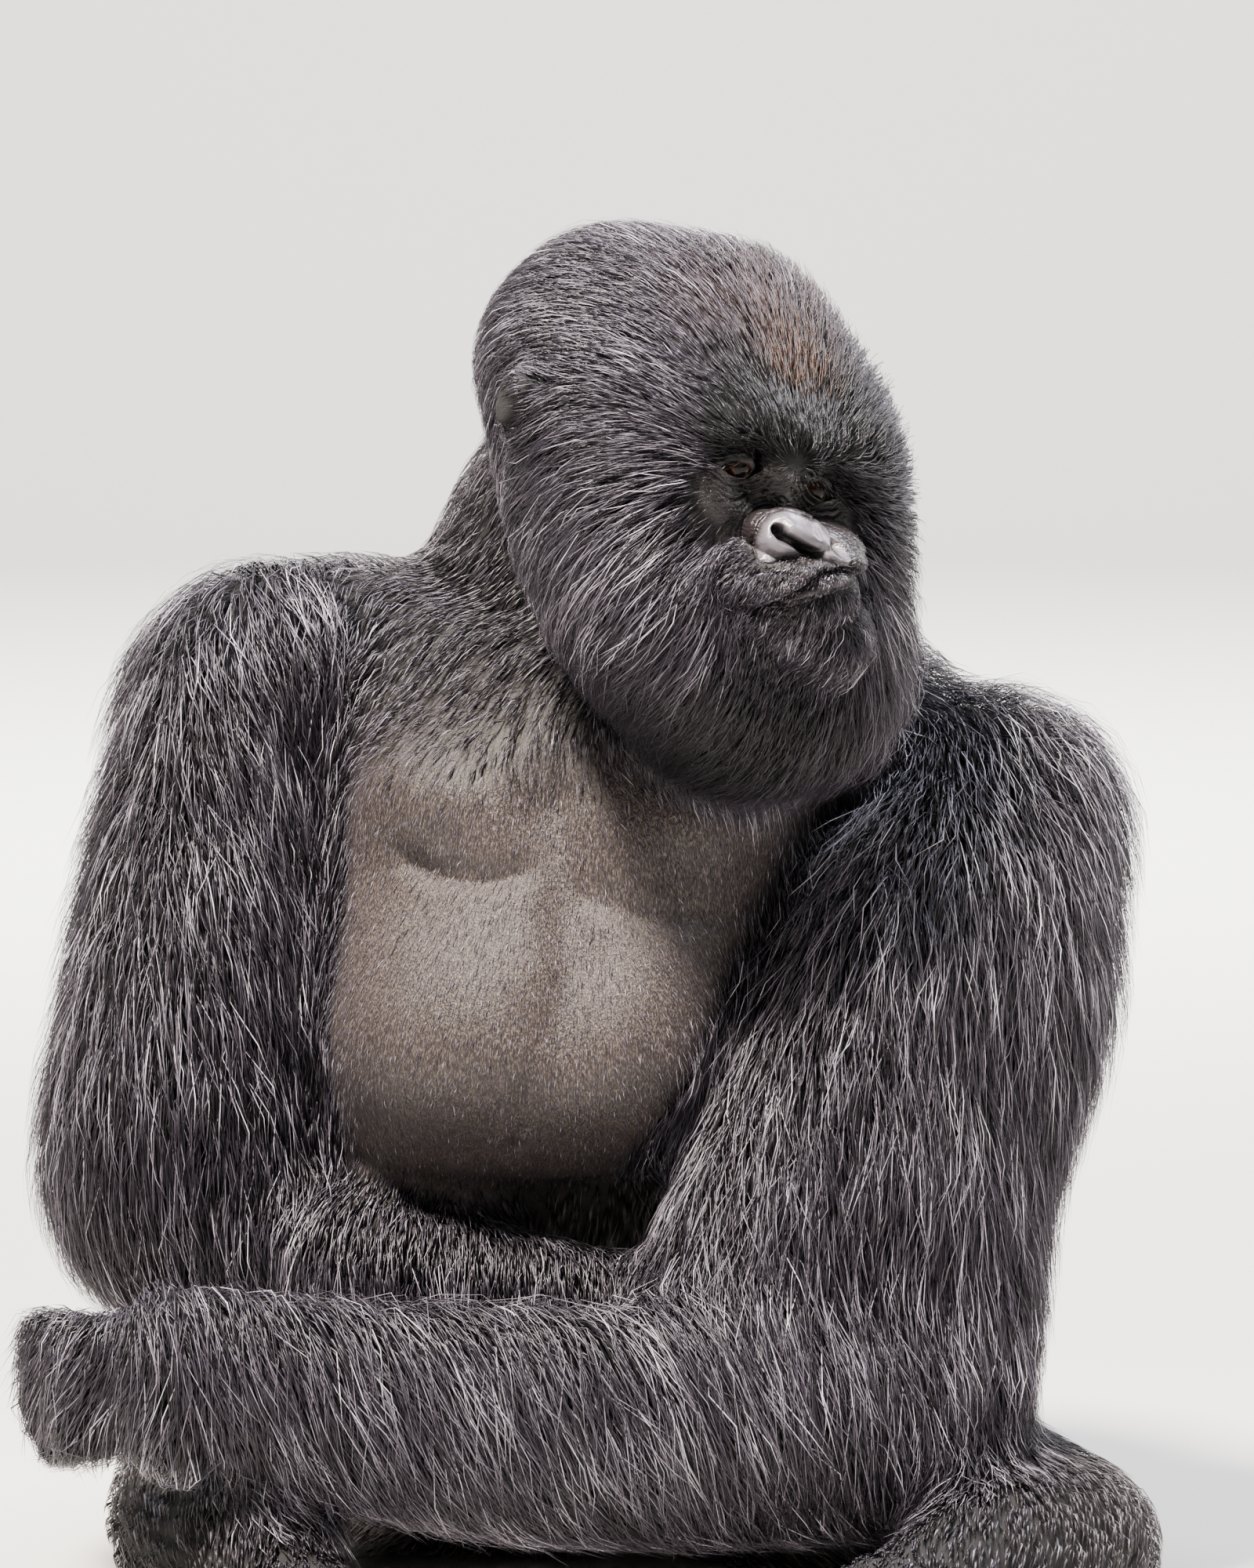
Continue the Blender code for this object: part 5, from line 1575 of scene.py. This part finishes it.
HEAD_AND_EARS = Region.HEAD.value
LONG_HAIR = {"lift": (0.15, 1.05), "free": 0.40, "cell": 0.016, "gather": 0.6, "wave": 0.09,
             "tone": (0.0, 0.36)}
LOCKS = {"width": 0.0007, "bends": 3, "lift": (0.7, 1.25), "free": 0.45, "cell": 0.026, "wave": 0.20,
         "tone": (0.12, 1.0), "long": 1.25}
PELTS: tuple[Pelt, ...] = (
    Pelt("coat_crown", HEAD_AND_EARS, 22000, 11, part="crown", width=0.0012, cell=0.009, wave=0.08),
    Pelt("coat_beard", ("head",), 22000, 12, part="beard", **LONG_HAIR | {
        "width": 0.0014, "cell": 0.014, "gather": 0.5, "wave": 0.13, "tone": (0.0, 0.42)}),
    Pelt("coat_neck", ("neck", "trunk"), 18000, 13, part="furred", width=0.0016),
    Pelt("coat_rump", ("rump",), 6500, 14, width=0.0024, lift=(0.2, 1.0), free=0.1),
    Pelt("coat_legs", ("thigh_r", "thigh_l", "shin_r", "shin_l"), 13500, 15, width=0.0020, lift=(0.2, 1.0),
         free=0.1),
    Pelt("coat_upper_arm_r", ("upper_arm_r",), 18000, 16, **LONG_HAIR),
    Pelt("coat_upper_arm_l", ("upper_arm_l",), 19000, 17, **LONG_HAIR),
    Pelt("coat_forearm_l", ("forearm_l",), 18500, 18, **LONG_HAIR | {
        "lift": (0.15, 1.0), "free": 0.35, "wave": 0.10, "tone": (0.0, 0.40)}),
    Pelt("coat_forearm_r", ("forearm_r",), 7000, 19, width=0.0016, lift=(0.2, 1.0), free=0.1, gather=0.45,
         wave=0.09),
    Pelt("coat_chest", ("trunk", "neck"), 13000, 20, "short_coat", "chest", width=0.0005, lift=(0.3, 1.0),
         cell=0.006, gather=0.3, wave=0.12, tone=(0.35, 0.65)),
    Pelt("coat_hands", ("hand_l", "hand_r", "foot_l", "foot_r"), 8000, 21, "short_coat", width=0.0014,
         lift=(0.3, 1.0), free=0.1, cell=0.008, wave=0.18),
    Pelt("coat_face", ("head",), 6000, 22, "short_coat", "fuzz", width=0.0006, lift=(0.4, 1.0), cell=0.005,
         gather=0.2, wave=0.18, tone=(0.1, 0.8)),
    Pelt("locks_crown", HEAD_AND_EARS, 5000, 31, part="crown", **LOCKS | {
        "width": 0.0005, "free": 0.1, "cell": 0.020, "gather": 0.3, "wave": 0.16, "long": 1.35}),
    Pelt("locks_beard", ("head",), 7000, 32, part="beard", **LOCKS | {"width": 0.0005, "cell": 0.024}),
    Pelt("locks_trunk", ("neck", "trunk", "rump"), 3500, 33, part="furred", **LOCKS | {
        "width": 0.0009, "lift": (0.7, 1.2), "free": 0.2, "cell": 0.020, "gather": 0.3, "wave": 0.14,
        "tone": (0.12, 0.9), "long": 1.3}),
    Pelt("locks_arm_r", ("upper_arm_r", "forearm_r"), 7800, 34, **LOCKS),
    Pelt("locks_arm_l", ("upper_arm_l",), 7800, 35, **LOCKS),
    Pelt("locks_forearm_l", ("forearm_l", "hand_l"), 8800, 36, **LOCKS | {"free": 0.40, "wave": 0.22}),
)


# ---------------------------------------------------------------- nails
@dataclass(frozen=True)
class Digit:
    """One finger or toe in the body's axes: its root, its ways and its bones."""

    start: Vector
    ahead: Vector
    bend: Vector
    bones: tuple[float, ...]
    radius: float
    curls: tuple[float, ...]

    def last_bone(self) -> tuple[Vector, Vector, Vector, float]:
        """Return the last bone's middle, its way, its outer side and its radius."""
        point, angle, size = self.start.copy(), 0.0, self.radius
        for length, curl in zip(self.bones, self.curls):
            angle += math.radians(curl)
            way = self.ahead * math.cos(angle) + self.bend * math.sin(angle)
            middle, point, size = point + way * (length * 0.55), point + way * length, size * 0.94
        return middle, way, self.ahead * math.sin(angle) - self.bend * math.cos(angle), size


@dataclass
class Nails:
    """The flat curved nails on the fingers and toes."""

    stance: Stance
    tree: BVHTree
    finger_bones: tuple[float, float, float] = (0.050, 0.034, 0.024)
    thumb_bones: tuple[float, float, float] = (0.036, 0.028, 0.018)
    toe_bones: tuple[float, float, float] = (0.032, 0.022, 0.016)
    great_bones: tuple[float, float, float] = (0.046, 0.032, 0.022)
    thick: float = 0.0018
    span: float = 52.0

    def hand(self, wrist: tuple, ahead: tuple, dorsal: tuple, width: float, curls: tuple,
             thumb: float) -> list[Digit]:
        """Lay out a hand's digits.

        Args:
            wrist: the wrist's place.
            ahead: the way from the wrist to the knuckles.
            dorsal: the way that the hand's back faces.
            width: the palm's width.
            curls: how far the finger joints are bent, in degrees.
            thumb: 1 or -1, the thumb's side.

        Returns:
            The four fingers and the thumb.
        """
        ahead = Vector(ahead).normalized()
        across = ahead.cross(Vector(dorsal)).normalized()
        dorsal = across.cross(ahead).normalized()
        digits = []
        for k in range(4):
            out = (k - 1.5) / 1.5
            start = Vector(wrist) + ahead * (0.100 - 0.010 * out * out) + across * (out * width * 0.38)
            scale = 1.0 - 0.07 * abs(k - 1.2)
            bones = tuple(length * scale for length in self.finger_bones)
            digits.append(Digit(start, ahead, -dorsal, bones, 0.0195 * scale, curls))
        side = across * thumb
        start = Vector(wrist) + ahead * 0.034 + side * (width * 0.34) - dorsal * 0.014
        way = (ahead * 0.82 + side * 0.12 - dorsal * 0.52).normalized()
        return digits + [Digit(start, way, -dorsal, self.thumb_bones, 0.0175, (4.0, 14.0, 14.0))]

    def foot(self, ankle: tuple, ahead: tuple, inner: tuple) -> list[Digit]:
        """Lay out a foot's toes.

        Args:
            ankle: the ankle's place over the floor.
            ahead: the way that the foot points.
            inner: the way to the great toe's side.

        Returns:
            The four small toes and the great toe.
        """
        ahead, inner, up = Vector(ahead).normalized(), Vector(inner), Vector((0.0, 0.0, 1.0))
        base = Vector((ankle[0], ankle[1], 0.0))
        digits = []
        for k in range(4):
            start = base + ahead * (0.176 - 0.008 * k) + inner * (0.038 - 0.0275 * k) + up * 0.018
            digits.append(Digit(start, ahead, -up, self.toe_bones, 0.0200 * (1.0 - 0.05 * k),
                                (-6.0, 16.0, 22.0)))
        start = base + ahead * 0.072 + inner * 0.040 + up * 0.022
        way = (ahead * 0.88 + inner * 0.47).normalized()
        return digits + [Digit(start, way, -up, self.great_bones, 0.0235, (0.0, 8.0, 18.0))]

    def plate(self, digit: Digit, rows: int = 9, columns: int = 11) -> tuple[np.ndarray, np.ndarray]:
        """Shape one nail on its digit.

        Args:
            digit: the finger or toe.
            rows: steps along the nail.
            columns: steps across it.

        Returns:
            The points and triangles of a closed curved plate.
        """
        middle, way, out, size = digit.last_bone()
        touch, out = self.tree.find_nearest(middle + Vector(self.stance.shift) + out * size)[:2]
        middle = touch - out * size
        way = (way - out * way.dot(out)).normalized()
        reach = size + 0.0007
        side = way.cross(out)
        points = []
        for drop in (0.0, self.thick):
            for row in range(rows):
                share = row / (rows - 1)
                for column in range(columns):
                    turn = 2.0 * column / (columns - 1) - 1.0
                    angle = math.radians(self.span * turn * (0.86 + 0.14 * math.sin(math.pi * share)))
                    along = (-0.45 + (1.30 - 0.30 * turn * turn) * share + 0.10 * turn * turn) * size
                    far = reach - drop - 0.10 * size * max(0.0, share - 0.6)
                    place = middle + way * along + (out * math.cos(angle) + side * math.sin(angle)) * far
                    points.append(place[:])
        half = rows * columns
        quads = []
        for row in range(rows - 1):
            for column in range(columns - 1):
                a = row * columns + column
                quads.append((a, a + 1, a + columns + 1, a + columns))
                quads.append((half + a, half + a + columns, half + a + columns + 1, half + a + 1))
        rim = list(range(columns)) + [(row + 1) * columns - 1 for row in range(1, rows)]
        rim += [half - 1 - k for k in range(1, columns)] + [row * columns for row in range(rows - 2, 0, -1)]
        for a, b in zip(rim, rim[1:] + rim[:1]):
            quads.append((b, a, half + a, half + b))
        faces = [tri for q in quads for tri in ((q[0], q[1], q[2]), (q[0], q[2], q[3]))]
        return np.array(points), np.array(faces)

    def build(self, name: str, digits: list[Digit]) -> bpy.types.Object:
        """Make one hand's or foot's nails as one piece."""
        parts = [self.plate(digit) for digit in digits]
        points = np.concatenate([part[0] for part in parts])
        points[:, 2] = np.maximum(points[:, 2], FLOOR_GAP)
        faces = np.concatenate([part[1] + k * len(part[0]) for k, part in enumerate(parts)])
        item = add_mesh(name, points, faces)
        with editing(item):
            bpy.ops.mesh.normals_make_consistent(inside=False)
        bpy.ops.object.shade_smooth_by_angle(angle=math.radians(40.0))
        item.data.materials.append(Horn().make())
        LOG.info("%s: %d nails", name, len(digits))
        return item

    def build_all(self) -> list[bpy.types.Object]:
        """Make the nails of both hands and both feet."""
        sets = {
            "nails_hand_r": self.hand((0.050, -0.212, 0.256), (0.90, 0.30, -0.22), (0.0, -0.75, 0.66), 0.088,
                                      (62.0, 82.0, 50.0), -1.0),
            "nails_hand_l": self.hand((-0.312, -0.366, 0.244), (-1.0, 0.03, -0.10), (0.0, -1.0, 0.15), 0.112,
                                      (58.0, 70.0, 45.0), 1.0),
            "nails_foot_r": self.foot((-0.225, -0.440), (-0.06, -1.0, 0.0), (1.0, 0.0, 0.0)),
            "nails_foot_l": self.foot((0.205, -0.432), (0.08, -1.0, 0.0), (-1.0, 0.0, 0.0)),
        }
        return [self.build(name, digits) for name, digits in sets.items()]


# ---------------------------------------------------------------- eyes
@dataclass
class Eye:
    """One eyeball with its clear bulging front."""

    name: str
    stance: Stance
    at: tuple[float, float, float]
    radius: float = 0.0165
    look: tuple[float, float, float] = (-0.10, -1.0, -0.16)
    bulge: float = 0.0016

    def build(self) -> bpy.types.Object:
        """Model the eyeball and dress it."""
        centre = Vector(self.stance.from_head(np.array([self.at]))[0])
        gaze = Vector(self.stance.aim_from_head(np.array([self.look]))[0]).normalized()
        deselect()
        bpy.ops.mesh.primitive_uv_sphere_add(segments=48, ring_count=32, radius=self.radius, location=centre,
                                             rotation=gaze.to_track_quat("Z", "Y").to_euler())
        ball = bpy.context.view_layer.objects.active
        ball.name = self.name
        ball.data.name = self.name
        bpy.ops.object.transform_apply(location=True, rotation=True, scale=True)
        bpy.ops.object.shade_smooth()
        points = read_points(ball)
        away = (points - np.array(centre)) / self.radius
        front = smoothstep(0.80, 1.0, away @ np.array(gaze))
        write_points(ball, points + away * (front * self.bulge)[:, None])
        ball.data.materials.append(EyeFinish().make(centre, gaze))
        LOG.info("%s at %s", self.name, [round(c, 4) for c in centre])
        return ball


# ---------------------------------------------------------------- the studio
@dataclass
class Studio:
    """A plain pale floor that turns up into a wall all round, soft lights and the camera."""

    stance: Stance
    floor: str = "#cfcdc9"
    sky: str = "#c9ccd2"
    sky_strength: float = 0.15
    wall_at: float = 16.0
    wall_high: float = 16.0
    turn: float = 4.0
    lens: float = 144.0
    # each lamp: name, place, watts, side, colour and what it shines at
    lamps: tuple = (("key", (-0.85, -1.05, 3.6), 960.0, 0.6, "#fff4e8", (0.0, 0.0, 0.55)),
                    ("sky", (0.5, 0.6, 3.4), 260.0, 1.4, "#f0f4ff", (0.0, 0.0, 0.55)),
                    ("wash", (0.0, 4.5, 5.5), 4200.0, 5.0, "#ffffff", (0.0, 12.5, 0.5)),
                    ("rim", (2.3, 1.2, 1.9), 70.0, 1.3, "#ffffff", (0.0, 0.0, 0.55)),
                    ("fill", (2.4, -2.8, 1.0), 12.0, 2.0, "#f4f6ff", (0.0, 0.0, 0.55)))

    def build(self) -> None:
        """Set up floor, lights, world and camera."""
        self.make_floor()
        for lamp in self.lamps:
            self.add_light(*lamp)
        world = bpy.data.worlds.new("studio")
        bpy.context.scene.world = world
        world.use_nodes = True
        fill(world.node_tree.nodes["Background"], {"Color": linear(self.sky), "Strength": self.sky_strength})
        self.add_camera()

    def make_floor(self) -> bpy.types.Object:
        """Model the round floor and the wall that turns up from it on all sides."""
        deselect()
        bpy.ops.mesh.primitive_cylinder_add(vertices=128, radius=self.wall_at, depth=self.wall_high,
                                            end_fill_type="NGON", location=(0.0, 0.0, 0.5 * self.wall_high))
        floor = bpy.context.view_layer.objects.active
        floor.name = "floor"
        bpy.ops.object.transform_apply(location=True, rotation=True, scale=True)
        lid = np.array([face.normal.z > 0.9 for face in floor.data.polygons])
        with editing(floor, lid, "FACE"):
            bpy.ops.mesh.delete(type="FACE")
            bpy.ops.mesh.select_all(action="SELECT")
            bpy.ops.mesh.flip_normals()
        apply_modifier(floor, "BEVEL", width=self.turn, segments=16)
        bpy.ops.object.shade_smooth()
        material, _, shader = new_material("pale_painted_board")
        fill(shader, {"Base Color": linear(self.floor), "Roughness": 0.72})
        floor.data.materials.append(material)
        return floor

    def add_light(self, name: str, place: tuple, power: float, size: float, colour: str, aim: tuple) -> None:
        """Add a soft square light.

        Args:
            name: the light's name.
            place: where it hangs.
            power: its strength in watts.
            size: its side in metres.
            colour: its colour.
            aim: the point that it shines at.
        """
        lamp = bpy.data.lights.new(name, "AREA")
        lamp.energy = power
        lamp.size = size
        lamp.color = linear(colour)[:3]
        item = add_object(name, lamp)
        item.location = place
        item.rotation_euler = (Vector(aim) - Vector(place)).to_track_quat("-Z", "Y").to_euler()

    def add_camera(self) -> None:
        """Put the camera a little over head height, five metres ahead, looking a little down."""
        lens = bpy.data.cameras.new("camera")
        lens.lens = self.lens
        lens.sensor_width = 36.0
        item = add_object("camera", lens)
        item.location = np.array((0.0125, -4.9726, 1.1666)) + self.stance.shift
        item.rotation_euler = (math.radians(84.0), 0.0, 0.0)
        bpy.context.scene.camera = item


# ---------------------------------------------------------------- the whole animal
@dataclass
class Gorilla:
    """The dressed animal: skin, eyes and every piece of the coat."""

    stance: Stance = field(default_factory=Stance)

    def build(self) -> None:
        """Build and dress every piece and tie it to the frame."""
        hide = Hide(self.stance)
        hide.build()
        coat = Coat(hide)
        hair = Hair().make()
        for pelt in PELTS:
            piece = coat.grow(pelt)
            piece.data.materials.append(hair)
            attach(piece, "root")
        for key in ("face", "chest", "silver", "russet", "palm", "wet"):
            add_field(hide.item, key, hide.fields[key])
        hide.item.data.materials.append(Skin().make())
        activate(hide.item)
        bpy.ops.object.shade_smooth()
        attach(hide.item, "root")
        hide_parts(*FLESH)
        for name, place in (("eye_r", Face().lids[0].ball), ("eye_l", Face().lids[1].ball)):
            ball = Eye("eyeball" + name[3:], self.stance, place).build()
            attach(ball, "root")
            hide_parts(name)
        for nail in Nails(self.stance, coat.tree).build_all():
            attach(nail, "root")
        deselect()


def main() -> None:
    """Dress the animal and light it."""
    logging.basicConfig(level=logging.INFO, format="%(name)s: %(message)s", force=True)
    gorilla = Gorilla()
    gorilla.build()
    Studio(gorilla.stance).build()


if __name__ == "__main__":
    main()
